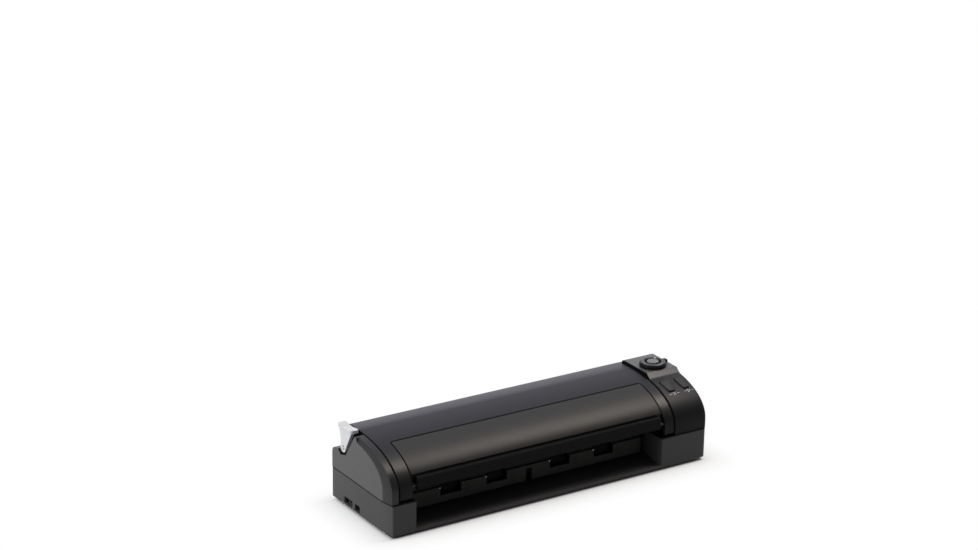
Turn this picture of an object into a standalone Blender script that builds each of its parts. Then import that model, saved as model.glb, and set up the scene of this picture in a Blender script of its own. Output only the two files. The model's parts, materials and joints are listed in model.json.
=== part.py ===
"""Sheet fed document scanner, modelled as an assembly of separate named pieces.

Sizes are millimetres, measured from the left end (x), the front face (y) and the table (z).
The function place() turns them into metres about the middle of the footprint, with +Z up.
"""

import math

import bmesh
import bpy
from mathutils import Matrix, Vector

MM = 0.001

# Overall body
LENGTH = 288.0
DEPTH = 86.0
WALL = 2.0
FIT_GAP = 0.3
SEAM_GAP = 0.6
CUT_PAST = 5.0
OVERCUT = 1.0

# Side profile of the crown: a superellipse from the front face to the top
FRONT_FACE_Y = 0.8
CROWN_RUN = 62.0
CROWN_RISE = 29.6
CROWN_BASE_Z = 34.0
CROWN_POWER = 2.2
CROWN_STEPS = 18
TOP_REAR_INSET = 11.0
TOP_REAR_Y = DEPTH - TOP_REAR_INSET
TOP_REAR_Z = 63.7
REAR_EDGE_ROUND = 1.6
REAR_SLOPE_INSET = 0.6
REAR_SLOPE_Y = DEPTH - REAR_SLOPE_INSET
REAR_SLOPE_Z = 41.0
BACK_INSET = 0.3
BACK_Y = DEPTH - BACK_INSET

# Order along the length: end cap, cover with flap and slot, control head
CAP_INNER_X = 7.9
HEAD_LENGTH = 31.1
HEAD_LEFT_X = LENGTH - HEAD_LENGTH
COVER_LEFT_X = CAP_INNER_X + SEAM_GAP
COVER_RIGHT_X = HEAD_LEFT_X - SEAM_GAP
LEFT_RIM = 11.7
RIGHT_RIM = 9.5
FLAP_LEFT_X = COVER_LEFT_X + LEFT_RIM
FLAP_RIGHT_X = COVER_RIGHT_X - RIGHT_RIM
SLOT_INSET = 2.0
SLOT_LEFT_X = FLAP_LEFT_X + SLOT_INSET
SLOT_RIGHT_X = FLAP_RIGHT_X - SLOT_INSET
SLOT_MIDDLE_X = (SLOT_LEFT_X + SLOT_RIGHT_X) / 2

# Lower housing and bottom plate
WALL_BOTTOM_Z = 3.0
PARTING_Z = 27.0
CORNER_ROUND = 4.0
TOE_DEPTH = 12.6
TOE_INSET = 2.3
LEFT_CORNER_ROUND = 1.0
HOUSING_WALL = 2.2
BULKHEAD = 2.0
SILL_TOP_Z = 4.8
SILL_DEPTH = 2.5
LEDGE_TOP_Z = 3.8
LEDGE_OVERLAP = 1.5
PLATE_LEFT_X = 3.0
PLATE_RIGHT_INSET = 7.5
PLATE_RIGHT_X = LENGTH - PLATE_RIGHT_INSET
PLATE_FRONT_Y = 1.5
PLATE_REAR_INSET = 5.0
PLATE_REAR_Y = DEPTH - PLATE_REAR_INSET
PLATE_BOTTOM_Z = 0.7
PLATE_ROUND = 3.0
BOSS_RADIUS = 3.0
BOSS_BORE = 1.2
BOSS_TOP_Z = 12.0
BOSS_INSET_X = (2.4, 3.0)
BOSS_FRONT_Y = 22.0
BOSS_REAR_INSET = 3.2
BOSS_PLACES = [
    (x, y)
    for x in (PLATE_LEFT_X + BOSS_INSET_X[0], PLATE_RIGHT_X - BOSS_INSET_X[1])
    for y in (BOSS_FRONT_Y, PLATE_REAR_Y - BOSS_REAR_INSET)
]
SCREW_WELL_RADIUS = 2.2
SCREW_WELL_DEPTH = 1.0
FOOT_RADIUS = 5.0
FOOT_EDGE = 0.3
FOOT_HEIGHT = 1.2
FOOT_RECESS = 0.8
FOOT_INSET_X = (13.0, 10.5)
FOOT_INSET_Y = (8.5, 9.0)
FOOT_SIDES = {"left": PLATE_LEFT_X + FOOT_INSET_X[0], "right": PLATE_RIGHT_X - FOOT_INSET_X[1]}
FOOT_ROWS = {"front": PLATE_FRONT_Y + FOOT_INSET_Y[0], "rear": PLATE_REAR_Y - FOOT_INSET_Y[1]}

# Ports in the left wall
PORT_CORNER = 1.0
PORT_Z = (4.2, 9.6)
USB_Y = (55.3, 67.4)
USB_SOCKET_Y = (57.3, 65.4)
USB_SOCKET_Z = (4.8, 9.0)
USB_SOCKET_X = (2.6, 11.5)
USB_SHELL = 0.6
JACK_Y = (44.1, 51.6)
JACK_BODY_Y = (43.6, 52.1)
JACK_BODY_Z = (4.1, 11.2)
JACK_BODY_X = (2.6, 14.0)
JACK_BORE = 2.3
JACK_DEPTH = 8.0
JACK_PIN_RADIUS = 0.7
JACK_PIN_START_X = 4.0
PORT_BOARD_X = (2.6, 17.0)
PORT_BOARD_Y = (40.0, 70.0)
PORT_BOARD_Z = (11.5, 13.0)
USB_RISER_TOP_Z = 11.2

# Release lever, its outlines measured from its pivot
LEVER_REAR_INSET = 15.0
LEVER_PIVOT_Y = DEPTH - LEVER_REAR_INSET
LEVER_PIVOT_Z = 47.4
LEVER_STEM_X = (1.0, 4.0)
LEVER_HUB = 3.8
LEVER_HUB_STEPS = 8
LEVER_WAIST = (3.4, 6.6)
LEVER_SHOULDER_Y = (-12.2, 5.8)
LEVER_PAD_X = (0.2, 7.4)
LEVER_PAD_Y = (-12.6, 8.0)
LEVER_PAD_Z = (15.0, 17.6)
LEVER_PAD_CORNERS = (2.6, 1.0)
LEVER_SCOOP_RADIUS = 24.0
LEVER_SCOOP_DEPTH = 0.9
LEVER_PIN_RADIUS = 1.4
LEVER_PIN_X = (0.6, 7.6)
SPRING_RADIUS = 2.4
SPRING_WIRE = 0.32
SPRING_TURNS = 1.5
SPRING_X = (4.5, 5.5)
SPRING_STEPS = 14
WIRE_STEPS = 6

# Left end cap, its notch measured from the lever's pivot
FACE_RUN = 50.0
FACE_RISE = 26.0
FACE_BEVEL_AHEAD = 22.5
CAP_POCKET_X = 3.4
CAP_POCKET_AHEAD = 25.0
CAP_WEB_X = 6.0
CAP_EAR_RADIUS = 10.0
NOTCH_FRONT = ((-20.6, 22.6), (-19.4, 16.6), (-5.4, -4.1))
NOTCH_REAR = ((2.4, -6.1), (6.0, -2.8), (24.0, -6.9), (24.0, 22.6))

# Cover, its hinge and the flap opening
COVER_BOTTOM_Z = 27.5
HINGE_Y = 4.5
HINGE_Z = 31.2
HINGE_ROUND_STEPS = 6
HINGE_PIN_RADIUS = 1.5
HINGE_BOSS_RADIUS = 3.4
HINGE_PIN_LENGTH = 11.0
HINGE_BOSS_LENGTH = 5.5
HINGE_PIN_REACH = 4.5
MOUTH_TOP_Z = 38.0
FLAP_TOP_Y = 35.2
FLAP_CORNER = 3.6
RIM_FLANGE = 1.8
RIM_FLANGE_DEPTH = 9.0
RIM_FLANGE_STEPS = 14

# Front flap with its bar and pins
FLAP_THICK = 1.8
FLAP_FOOT_Z = 46.3
FLAP_FOOT_STEP = 0.6
FLAP_FOOT_DROP = 2.0
FLAP_FLANGE_Y = (5.6, 7.4)
FLAP_FLANGE_BOTTOM_Z = 39.0
BAR_LEFT_GAP = 3.3
BAR_RIGHT_GAP = 4.0
BAR_LEFT_X = FLAP_LEFT_X + BAR_LEFT_GAP
BAR_RIGHT_X = FLAP_RIGHT_X - BAR_RIGHT_GAP
BAR_FRONT_Y = 0.1
BAR_REAR_Y = 5.2
BAR_BOTTOM_Z = 35.0
BAR_TOP_Z = 45.1
BAR_CHAMFER = 1.2
FLAP_HINGE_Y = 3.2
FLAP_HINGE_Z = 38.2
FLAP_PIN_RADIUS = 1.2
FLAP_PIN_LENGTH = 8.0
FLAP_PIN_REACH = 2.5

# Paper path: flat at the front, then rising to the rear mouth
PATH_START_Y = 12.0
PATH_START_Z = 4.6
PATH_ANGLE = math.radians(18.6)
PLATEN_FRONT_Y = 2.8
PLATEN_REAR_INSET = 6.0
PLATEN_END_Y = DEPTH - PLATEN_REAR_INSET
PLATEN_THICK = 1.6
PLATEN_SIDE_GAP = 0.3
PAPER_GAP = 1.5
GUIDE_LEFT_GAP = 6.1
GUIDE_RIGHT_GAP = 6.9
GUIDE_LEFT_X = SLOT_LEFT_X + GUIDE_LEFT_GAP
GUIDE_RIGHT_X = SLOT_RIGHT_X - GUIDE_RIGHT_GAP
GUIDE_FACE_Y = 19.2
GUIDE_LIP_Z = 10.5
GUIDE_STEP = 2.2
GUIDE_STEP_Z = 23.0
GUIDE_MOUTH_Y = 30.0
GUIDE_THICK = 1.5
GUIDE_FACE_TOP_Z = 46.0
GUIDE_SHOULDER = (24.0, 50.0)
GUIDE_CREST = (38.5, 59.4)
GUIDE_REAR_INSET = 6.5
GUIDE_END_Y = DEPTH - GUIDE_REAR_INSET
GUIDE_BACK_INSET = 16.0
GUIDE_BACK = (DEPTH - GUIDE_BACK_INSET, 58.0)
GUIDE_TOP_INSET = 7.0
GUIDE_REAR_TOP = (DEPTH - GUIDE_TOP_INSET, 40.0)

# Rollers, the pairs measured from the ends of the slot
OUTER_ROLLER_INSETS = (41.5, 42.2)
INNER_ROLLER_INSETS = (82.3, 83.0)
ROLLER_CENTRES_X = (
    SLOT_LEFT_X + OUTER_ROLLER_INSETS[0],
    SLOT_LEFT_X + INNER_ROLLER_INSETS[0],
    SLOT_RIGHT_X - INNER_ROLLER_INSETS[1],
    SLOT_RIGHT_X - OUTER_ROLLER_INSETS[1],
)
ROLLER_WIDTH = 16.0
ROLLER_STEPS = 22
WINDOW_WIDTH = 18.4
WINDOW_BOTTOM_Z = 16.1
WINDOW_TOP_Z = 31.0
WINDOW_MARGIN = 0.8
SHAFT_RADIUS = 1.8
PINCH_AXLE_RADIUS = 2.0
ROLLER_PROUD = 0.4
FRONT_STATION_Y = 33.0
REAR_STATION_Y = 66.0
FRONT_ROLLER = 4.2
REAR_ROLLER = 5.4
FRONT_PINCH = 7.0
REAR_PINCH = 4.5
REAR_ROLLER_INSET = 18.5
REAR_ROLLER_X = (SLOT_LEFT_X + REAR_ROLLER_INSET, SLOT_RIGHT_X - REAR_ROLLER_INSET)
REAR_PINCH_LAND = 22.0
SHAFT_LEFT_REACH = 4.5
SHAFT_LEFT_X = SLOT_LEFT_X - SHAFT_LEFT_REACH
BUSH_OUTER = 3.9
BUSH_LENGTH = 2.0

# Image sensors, one on each side of the path
SENSOR_STATION_Y = 49.5
SENSOR_WIDTH = 14.0
SENSOR_DEPTH = 10.0
GLASS_THICK = 1.0
GLASS_WIDTH = 12.0
GLASS_RECESS = 0.2
SENSOR_WINDOW_Y = (41.9, 57.1)
LOWER_SENSOR_INSET = 3.5
UPPER_SENSOR_INSET = 2.1
LOWER_SENSOR_X = (SLOT_LEFT_X + LOWER_SENSOR_INSET, SLOT_RIGHT_X - LOWER_SENSOR_INSET)
UPPER_SENSOR_X = (GUIDE_LEFT_X + UPPER_SENSOR_INSET, GUIDE_RIGHT_X - UPPER_SENSOR_INSET)

# Drive, stacked to the right inside the control head
MODULE = 0.6
PRESSURE_ANGLE = math.radians(20.0)
ADDENDUM = 0.85
DEDENDUM = 1.1
BACKLASH = 0.22
PINION_TEETH = 12
IDLER_TEETH = 44
FRONT_TEETH = 14
REAR_TEETH = 18
GEAR_INSET = 3.6
GEAR_WIDTH = 3.8
GEAR_X = (HEAD_LEFT_X + GEAR_INSET, HEAD_LEFT_X + GEAR_INSET + GEAR_WIDTH)
SHAFT_RIGHT_X = GEAR_X[1] + FIT_GAP
PINION_ANGLE = math.radians(90.0)
PINION_SHAFT_RADIUS = 1.0
PINION_SHAFT_DEPTH = 3.0
MOTOR_PLATE_GAP = 0.7
MOTOR_PLATE_THICK = 1.3
MOTOR_PLATE_X = (GEAR_X[1] + MOTOR_PLATE_GAP, GEAR_X[1] + MOTOR_PLATE_GAP + MOTOR_PLATE_THICK)
MOTOR_PLATE_FRONT_Y = 26.0
MOTOR_PLATE_REAR_INSET = 10.0
MOTOR_PLATE_Y = (MOTOR_PLATE_FRONT_Y, DEPTH - MOTOR_PLATE_REAR_INSET)
MOTOR_PLATE_TOP_Z = 49.0
STUD_RADIUS = 2.0
MAIN_BOARD_THICK = 1.6
MAIN_BOARD_RIGHT_X = LENGTH - HOUSING_WALL - FIT_GAP
MAIN_BOARD_X = (MAIN_BOARD_RIGHT_X - MAIN_BOARD_THICK, MAIN_BOARD_RIGHT_X)
MOTOR_BOARD_GAP = 2.4
MOTOR_X = (MOTOR_PLATE_X[1] + FIT_GAP, MAIN_BOARD_X[0] - MOTOR_BOARD_GAP)
MOTOR_RADIUS = 14.0
MOTOR_BOSS_RADIUS = 4.0
MAIN_BOARD_Y = (14.0, 72.0)
MAIN_BOARD_Z = (4.1, 26.5)

# Paper sensor flag in the middle of the guide
FLAG_WIDTH = 3.4
FLAG_SLOT_WIDTH = 5.4
FLAG_X = (SLOT_MIDDLE_X - FLAG_WIDTH / 2, SLOT_MIDDLE_X + FLAG_WIDTH / 2)
FLAG_SLOT_X = (SLOT_MIDDLE_X - FLAG_SLOT_WIDTH / 2, SLOT_MIDDLE_X + FLAG_SLOT_WIDTH / 2)
FLAG_PIVOT_Y = 25.5
FLAG_PIVOT_Z = 17.5
FLAG_HUB = 2.0
FLAG_TIP_Z = 10.2
FLAG_THICK = 1.6
FLAG_SLOT_REAR_Y = 37.0
FLAG_PIN_RADIUS = 0.9
FLAG_EAR = 1.4
FLAG_EAR_Y = (20.0, 28.4)
FLAG_EAR_Z = (14.4, 20.4)

# Control head
HEAD_EDGE_ROUND = 2.4
HEAD_ROUND_STEPS = 4
PLATEAU_Z = 65.3
PLATEAU_FRONT_Y = 41.2
RAMP_FOOT_Y = 36.4
PLATEAU_REAR_INSET = 13.4
PLATEAU_REAR_Y = DEPTH - PLATEAU_REAR_INSET
PLATEAU_REAR_Z = 65.6
DIAL_END_INSET = 16.8
DIAL_X = LENGTH - DIAL_END_INSET
DIAL_Y = 51.4
DIAL_RADIUS = 10.7
DIAL_HEIGHT = 3.4
DIAL_LIFT = 0.4
DIAL_EDGE = 0.8
DIAL_STEM_RADIUS = 2.6
DIAL_STEM_DEPTH = 5.0
DIAL_WELL_RADIUS = 6.2
DIAL_WELL_DEPTH = 1.6
CAP_RADIUS = 4.8
CAP_PROUD = 0.4
NUB_REACH = 13.6
NUB_ROOT = 3.0
NUB_WIDTH = 3.6
NUB_HEIGHT = 2.4
NUB_ROUND = 1.2
SWITCH_HALF = 6.0
SWITCH_HEIGHT = 6.0
LAMP_END_INSET = 7.6
LAMP_REAR_INSET = 9.6
LAMP_X = LENGTH - LAMP_END_INSET
LAMP_Y = PLATEAU_REAR_Y - LAMP_REAR_INSET
LAMP_RADIUS = 1.2
LAMP_LENGTH = 3.2
LAMP_PROUD = 0.3
CANCEL_INSET = 9.2
SCAN_INSET = 8.0
KEY_CENTRES_X = {"cancel_key": HEAD_LEFT_X + CANCEL_INSET, "scan_key": LENGTH - SCAN_INSET}
KEY_Y = 24.2
KEY_TOP_WIDTH = 8.0
KEY_FOOT_WIDTH = 5.2
KEY_LENGTH = 12.4
KEY_CORNER = 1.6
KEY_PROUD = 0.9
KEY_DEPTH = 4.2
KEY_EDGE = 0.4
KEY_GAP = 0.6
CONTROL_BOARD_DEPTH = 5.2
CONTROL_BOARD_THICK = 1.4
CONTROL_BOARD_LENGTH = 20.0

# Fineness of round forms
ROUND_STEPS = 28
SMALL_ROUND_STEPS = 16
TINY_ROUND_STEPS = 12
SCOOP_STEPS = 60
CORNER_STEP = math.radians(18.0)
SHARP_ANGLE = math.radians(32.0)
MITRE_LIMIT = 0.3

FINISHES = {
    "charcoal": ((0.035, 0.035, 0.04, 1.0), 0.45, 0.0),
    "dark": ((0.03, 0.03, 0.029, 1.0), 0.55, 0.0),
    "black": ((0.012, 0.012, 0.012, 1.0), 0.4, 0.0),
    "inner": ((0.02, 0.02, 0.018, 1.0), 0.6, 0.0),
    "rubber": ((0.015, 0.015, 0.015, 1.0), 0.85, 0.0),
    "silver": ((0.72, 0.72, 0.72, 1.0), 0.35, 0.0),
    "steel": ((0.55, 0.55, 0.56, 1.0), 0.3, 1.0),
    "brass": ((0.6, 0.45, 0.2, 1.0), 0.35, 1.0),
    "nylon": ((0.75, 0.74, 0.7, 1.0), 0.5, 0.0),
    "board": ((0.02, 0.1, 0.04, 1.0), 0.5, 0.0),
    "glass": ((0.5, 0.55, 0.55, 1.0), 0.1, 0.0),
    "lamp": ((0.8, 0.85, 0.9, 1.0), 0.2, 0.0),
}


def place(x, y, z):
    """Point in metres about the middle of the footprint."""
    return Vector((x - LENGTH / 2, y - DEPTH / 2, z)) * MM


def shape(loops, faces):
    """Helper object from points in millimetres and faces, with outward normals."""
    mesh = bpy.data.meshes.new("shape")
    mesh.from_pydata([place(*point) for point in loops], [], faces)
    work = bmesh.new()
    work.from_mesh(mesh)
    bmesh.ops.recalc_face_normals(work, faces=work.faces)
    work.to_mesh(mesh)
    work.free()
    made = bpy.data.objects.new("shape", mesh)
    bpy.context.scene.collection.objects.link(made)
    return made


def loft(sections):
    """Solid through sections of equal point counts, closed by a cap at each end."""
    count = len(sections[0])
    points = [point for section in sections for point in section]
    faces = [tuple(range(count))]
    for level in range(len(sections) - 1):
        low = level * count
        high = low + count
        for k in range(count):
            following = (k + 1) % count
            faces.append((low + k, low + following, high + following, high + k))
    faces.append(tuple(range(len(points) - count, len(points))))
    return shape(points, faces)


def prism(outline, axis, low, high):
    """Outline pushed from low to high along an axis; x takes (y, z), y takes (x, z), z takes (x, y)."""
    turn = {
        "x": lambda a, b, along: (along, a, b),
        "y": lambda a, b, along: (a, along, b),
        "z": lambda a, b, along: (a, b, along),
    }[axis]
    return loft([[turn(a, b, along) for a, b in outline] for along in (low, high)])


def box(x, y, z):
    """Box between pairs of limits."""
    outline = [(y[0], z[0]), (y[1], z[0]), (y[1], z[1]), (y[0], z[1])]
    return prism(outline, "x", x[0], x[1])


def arc(centre, radius, start, end, steps):
    """Points on an arc, angles in degrees from the first axis to the second."""
    angles = [math.radians(start + (end - start) * k / steps) for k in range(steps + 1)]
    return [(centre[0] + radius * math.cos(a), centre[1] + radius * math.sin(a)) for a in angles]


def circle(centre, radius, steps=ROUND_STEPS):
    """Full circle of points."""
    return arc(centre, radius, 0.0, 360.0, steps)[:-1]


def rod(centre, radius, low, high, axis="x", steps=ROUND_STEPS):
    """Round bar along an axis."""
    return prism(circle(centre, radius, steps), axis, low, high)


def turned(centre, rings, steps=ROUND_STEPS):
    """Round solid about a vertical axis from (radius, z) rings."""
    return loft([[(a, b, z) for a, b in circle(centre, radius, steps)] for radius, z in rings])


def tube(centre, outer, inner, low, high, steps=ROUND_STEPS):
    """Round bar along x with a bore through it."""
    bore = rod(centre, inner, low - OVERCUT, high + OVERCUT, steps=steps)
    return cut(rod(centre, outer, low, high, steps=steps), bore)


def rounded_outline(corners):
    """Closed outline from (a, b, radius) corners in anticlockwise order."""
    points = []
    for k, (a, b, radius) in enumerate(corners):
        corner = Vector((a, b))
        if radius == 0:
            points.append((a, b))
            continue
        back = (Vector(corners[k - 1][:2]) - corner).normalized()
        ahead = (Vector(corners[(k + 1) % len(corners)][:2]) - corner).normalized()
        half = back.angle(ahead) / 2
        centre = corner + (back + ahead).normalized() * radius / math.sin(half)
        first = corner + back * radius / math.tan(half) - centre
        last = corner + ahead * radius / math.tan(half) - centre
        sweep = first.angle_signed(last)
        steps = max(2, round(abs(sweep) / CORNER_STEP))
        for step in range(steps + 1):
            points.append(tuple(centre + Matrix.Rotation(-sweep * step / steps, 2) @ first))
    return points


def inset(outline, distance):
    """Closed anticlockwise outline moved inwards, corners kept sharp."""
    moved = []
    for k, point in enumerate(outline):
        here = Vector(point)
        into = (here - Vector(outline[k - 1])).normalized()
        out = (Vector(outline[(k + 1) % len(outline)]) - here).normalized()
        left_in = Vector((-into.y, into.x))
        left_out = Vector((-out.y, out.x))
        bisector = (left_in + left_out).normalized()
        moved.append(tuple(here + bisector * distance / max(bisector.dot(left_out), MITRE_LIMIT)))
    return moved


def combine(target, tool, operation):
    """Boolean applied to the target; the tool is used up."""
    modifier = target.modifiers.new("combine", "BOOLEAN")
    modifier.operation = operation
    modifier.solver = "EXACT"
    modifier.object = tool
    bpy.context.view_layer.update()
    graph = bpy.context.evaluated_depsgraph_get()
    mesh = bpy.data.meshes.new_from_object(target.evaluated_get(graph))
    target.modifiers.clear()
    target.data = mesh
    bpy.data.objects.remove(tool)
    return target


def cut(target, *tools):
    """Target less each tool."""
    for tool in tools:
        combine(target, tool, "DIFFERENCE")
    return target


def join(target, *tools):
    """Target with each tool added."""
    for tool in tools:
        combine(target, tool, "UNION")
    return target


def part(made, name, finish, pivot=None):
    """Names a finished solid, gives it its material and puts its origin on its pivot."""
    colour, roughness, metallic = FINISHES[finish]
    material = bpy.data.materials.new(f"{name}_{finish}")
    material.use_nodes = True
    shader = material.node_tree.nodes["Principled BSDF"]
    shader.inputs["Base Color"].default_value = colour
    shader.inputs["Roughness"].default_value = roughness
    shader.inputs["Metallic"].default_value = metallic
    made.name = name
    made.data.name = name
    made.data.materials.clear()
    made.data.materials.append(material)
    if pivot is not None:
        origin = place(*pivot)
        for vertex in made.data.vertices:
            vertex.co -= origin
        made.location = origin
    made.data.shade_smooth()
    made.data.set_sharp_from_angle(angle=SHARP_ANGLE)
    return made


def crown(run=CROWN_RUN, rise=CROWN_RISE, within=0.0):
    """Points of the crown from the front face up to the top, about its common centre."""
    run -= within
    rise -= within
    points = []
    for k in range(CROWN_STEPS + 1):
        angle = math.pi / 2 * k / CROWN_STEPS
        forward = run * max(math.cos(angle), 0.0) ** (2 / CROWN_POWER)
        upward = rise * math.sin(angle) ** (2 / CROWN_POWER)
        points.append((FRONT_FACE_Y + CROWN_RUN - forward, CROWN_BASE_Z + upward))
    return points


def crown_height(y):
    """Height of the crown over a place in depth."""
    share = (FRONT_FACE_Y + CROWN_RUN - y) / CROWN_RUN
    return CROWN_BASE_Z + CROWN_RISE * (1 - share**CROWN_POWER) ** (1 / CROWN_POWER)


def crown_depth(z):
    """Place in depth of the crown at a height."""
    share = (z - CROWN_BASE_Z) / CROWN_RISE
    return FRONT_FACE_Y + CROWN_RUN * (1 - (1 - share**CROWN_POWER) ** (1 / CROWN_POWER))


def rear_points(bottom, top_y=TOP_REAR_Y, top_z=TOP_REAR_Z, within=0.0):
    """Rounded rear edge, rear slope and back wall, from the top down."""
    knee = (REAR_SLOPE_Y - within, REAR_SLOPE_Z)
    start = (FRONT_FACE_Y, top_z - within, 0)
    corner = (top_y - within, top_z - within, REAR_EDGE_ROUND)
    edge = rounded_outline([start, corner, (*knee, 0)])[1:-1]
    return edge + [knee, (BACK_Y - within, REAR_SLOPE_Z - REAR_EDGE_ROUND), (BACK_Y - within, bottom)]


def anticlockwise(outline):
    """The outline in anticlockwise order."""
    area = sum(a[0] * b[1] - b[0] * a[1] for a, b in zip(outline, outline[1:] + outline[:1]))
    return outline if area > 0 else outline[::-1]


def path_point(y, lift=0.0):
    """Point (y, z) on the rising paper path, lifted along its normal."""
    z = PATH_START_Z + (y - PATH_START_Y) * math.tan(PATH_ANGLE)
    return (y - lift * math.sin(PATH_ANGLE), z + lift * math.cos(PATH_ANGLE))


def path_block(y, half, low, high):
    """Four-cornered outline on the path about a station, between two lifts."""
    middle = path_point(y)
    along = Vector((math.cos(PATH_ANGLE), math.sin(PATH_ANGLE)))
    normal = Vector((-math.sin(PATH_ANGLE), math.cos(PATH_ANGLE)))
    corners = ((-half, low), (half, low), (half, high), (-half, high))
    return [tuple(Vector(middle) + along * s + normal * h) for s, h in corners]


FRONT_DRIVE = path_point(FRONT_STATION_Y, ROLLER_PROUD - FRONT_ROLLER)
REAR_DRIVE = path_point(REAR_STATION_Y, ROLLER_PROUD - REAR_ROLLER)
FRONT_IDLE = path_point(FRONT_STATION_Y, ROLLER_PROUD + FIT_GAP + FRONT_PINCH)
REAR_IDLE = path_point(REAR_STATION_Y, ROLLER_PROUD + FIT_GAP + REAR_PINCH)


def pitch_radius(teeth):
    """Pitch radius of a gear."""
    return MODULE * teeth / 2


def idler_centre():
    """Centre of the idler that meshes with both shaft gears, above the line between them."""
    front = Vector(FRONT_DRIVE)
    rear = Vector(REAR_DRIVE)
    from_front = pitch_radius(FRONT_TEETH) + pitch_radius(IDLER_TEETH)
    from_rear = pitch_radius(REAR_TEETH) + pitch_radius(IDLER_TEETH)
    span = (rear - front).length
    along = (from_front**2 - from_rear**2 + span**2) / (2 * span)
    aside = math.sqrt(from_front**2 - along**2)
    unit = (rear - front) / span
    return tuple(front + unit * along + Vector((-unit.y, unit.x)) * aside)


IDLER = idler_centre()
PINION_DISTANCE = pitch_radius(PINION_TEETH) + pitch_radius(IDLER_TEETH)
PINION = (
    IDLER[0] + PINION_DISTANCE * math.cos(PINION_ANGLE),
    IDLER[1] + PINION_DISTANCE * math.sin(PINION_ANGLE),
)


def heading(start, end):
    """Angle from one centre to another."""
    return math.atan2(end[1] - start[1], end[0] - start[0])


def meshed_turn(turn, teeth, direction, other_teeth):
    """Turn of a gear whose gap meets the tooth of the gear that it meshes with."""
    return direction + math.pi - (turn - direction) * teeth / other_teeth + math.pi / other_teeth


def gear_outline(centre, teeth, turn):
    """Involute gear outline with backlash, anticlockwise."""
    pitch = pitch_radius(teeth)
    base = pitch * math.cos(PRESSURE_ANGLE)
    tip = pitch + ADDENDUM * MODULE
    root = pitch - DEDENDUM * MODULE

    def flank(radius):
        pressure = math.acos(min(base / radius, 1.0))
        spread = math.tan(PRESSURE_ANGLE) - PRESSURE_ANGLE - math.tan(pressure) + pressure
        return (math.pi * MODULE / 2 - BACKLASH) / (2 * pitch) + spread

    radii = (root, pitch, tip)
    points = []
    for tooth in range(teeth):
        middle = turn + 2 * math.pi * tooth / teeth
        sides = [(r, middle - flank(r)) for r in radii] + [(r, middle + flank(r)) for r in reversed(radii)]
        points += [(centre[0] + r * math.cos(a), centre[1] + r * math.sin(a)) for r, a in sides]
    return points


def gear(name, centre, teeth, turn, bore, finish):
    """Spur gear with a bore, on the gear plane."""
    body = prism(gear_outline(centre, teeth, turn), "x", *GEAR_X)
    cut(body, rod(centre, bore, GEAR_X[0] - OVERCUT, GEAR_X[1] + OVERCUT, steps=SMALL_ROUND_STEPS))
    part(body, name, finish, (GEAR_X[0], *centre))


def footprint():
    """Plan outline of the housing, toed in at the front left."""
    return rounded_outline(
        [
            (TOE_INSET, 0.0, LEFT_CORNER_ROUND),
            (LENGTH, 0.0, CORNER_ROUND),
            (LENGTH, DEPTH, CORNER_ROUND),
            (0.0, DEPTH, LEFT_CORNER_ROUND),
            (0.0, TOE_DEPTH, 0),
        ]
    )


def rectangle(a, b, corner=0.0):
    """Outline of a rectangle between pairs of limits, corners rounded."""
    spots = ((a[0], b[0]), (a[1], b[0]), (a[1], b[1]), (a[0], b[1]))
    return rounded_outline([(*spot, corner) for spot in spots])


def build_lower_housing():
    """Walls, bulkheads, sill and the ledge over the bottom plate, open above and below."""
    above = (LEDGE_TOP_Z, PARTING_Z + CUT_PAST)
    through = (WALL_BOTTOM_Z - CUT_PAST, PARTING_Z + CUT_PAST)
    inner_y = (HOUSING_WALL, DEPTH - HOUSING_WALL)
    well_y = (PLATE_FRONT_Y + LEDGE_OVERLAP, PLATE_REAR_Y - LEDGE_OVERLAP)
    left_end = SLOT_LEFT_X - BULKHEAD
    right_start = SLOT_RIGHT_X + BULKHEAD
    slot_x = (SLOT_LEFT_X, SLOT_RIGHT_X)
    body = prism(footprint(), "z", WALL_BOTTOM_Z, PARTING_Z)
    left_pocket = [
        (TOE_INSET + HOUSING_WALL, inner_y[0]),
        (left_end, inner_y[0]),
        (left_end, inner_y[1]),
        (HOUSING_WALL, inner_y[1]),
        (HOUSING_WALL, TOE_DEPTH),
    ]
    cut(body, prism(left_pocket, "z", *above))
    cut(body, box((PLATE_LEFT_X + LEDGE_OVERLAP, left_end), well_y, through))
    cut(body, box(slot_x, (SILL_DEPTH, inner_y[1]), above))
    cut(body, box(slot_x, (SILL_DEPTH, well_y[1]), through))
    cut(body, box(slot_x, (-CUT_PAST, SILL_DEPTH + OVERCUT), (SILL_TOP_Z, through[1])))
    cut(body, box((right_start, LENGTH - HOUSING_WALL), inner_y, above))
    cut(body, box((right_start, PLATE_RIGHT_X - LEDGE_OVERLAP), well_y, through))
    for x, y in BOSS_PLACES:
        join(body, rod((x, y), BOSS_RADIUS, WALL_BOTTOM_Z + FIT_GAP, BOSS_TOP_Z, "z", SMALL_ROUND_STEPS))
        cut(body, rod((x, y), BOSS_BORE, 0.0, BOSS_TOP_Z + OVERCUT, "z", TINY_ROUND_STEPS))
    for centre in (FRONT_DRIVE, REAR_DRIVE):
        for x in (SLOT_LEFT_X - BULKHEAD / 2, SLOT_RIGHT_X + BULKHEAD / 2):
            seat = (x - BULKHEAD, x + BULKHEAD)
            cut(body, rod(centre, BUSH_OUTER + FIT_GAP, *seat, steps=SMALL_ROUND_STEPS))
    wall = (-CUT_PAST, HOUSING_WALL + OVERCUT)
    cut(body, prism(rectangle(USB_Y, PORT_Z, PORT_CORNER), "x", *wall))
    cut(body, prism(rectangle(JACK_Y, PORT_Z, PORT_CORNER), "x", *wall))
    part(body, "lower_housing", "dark")


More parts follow.
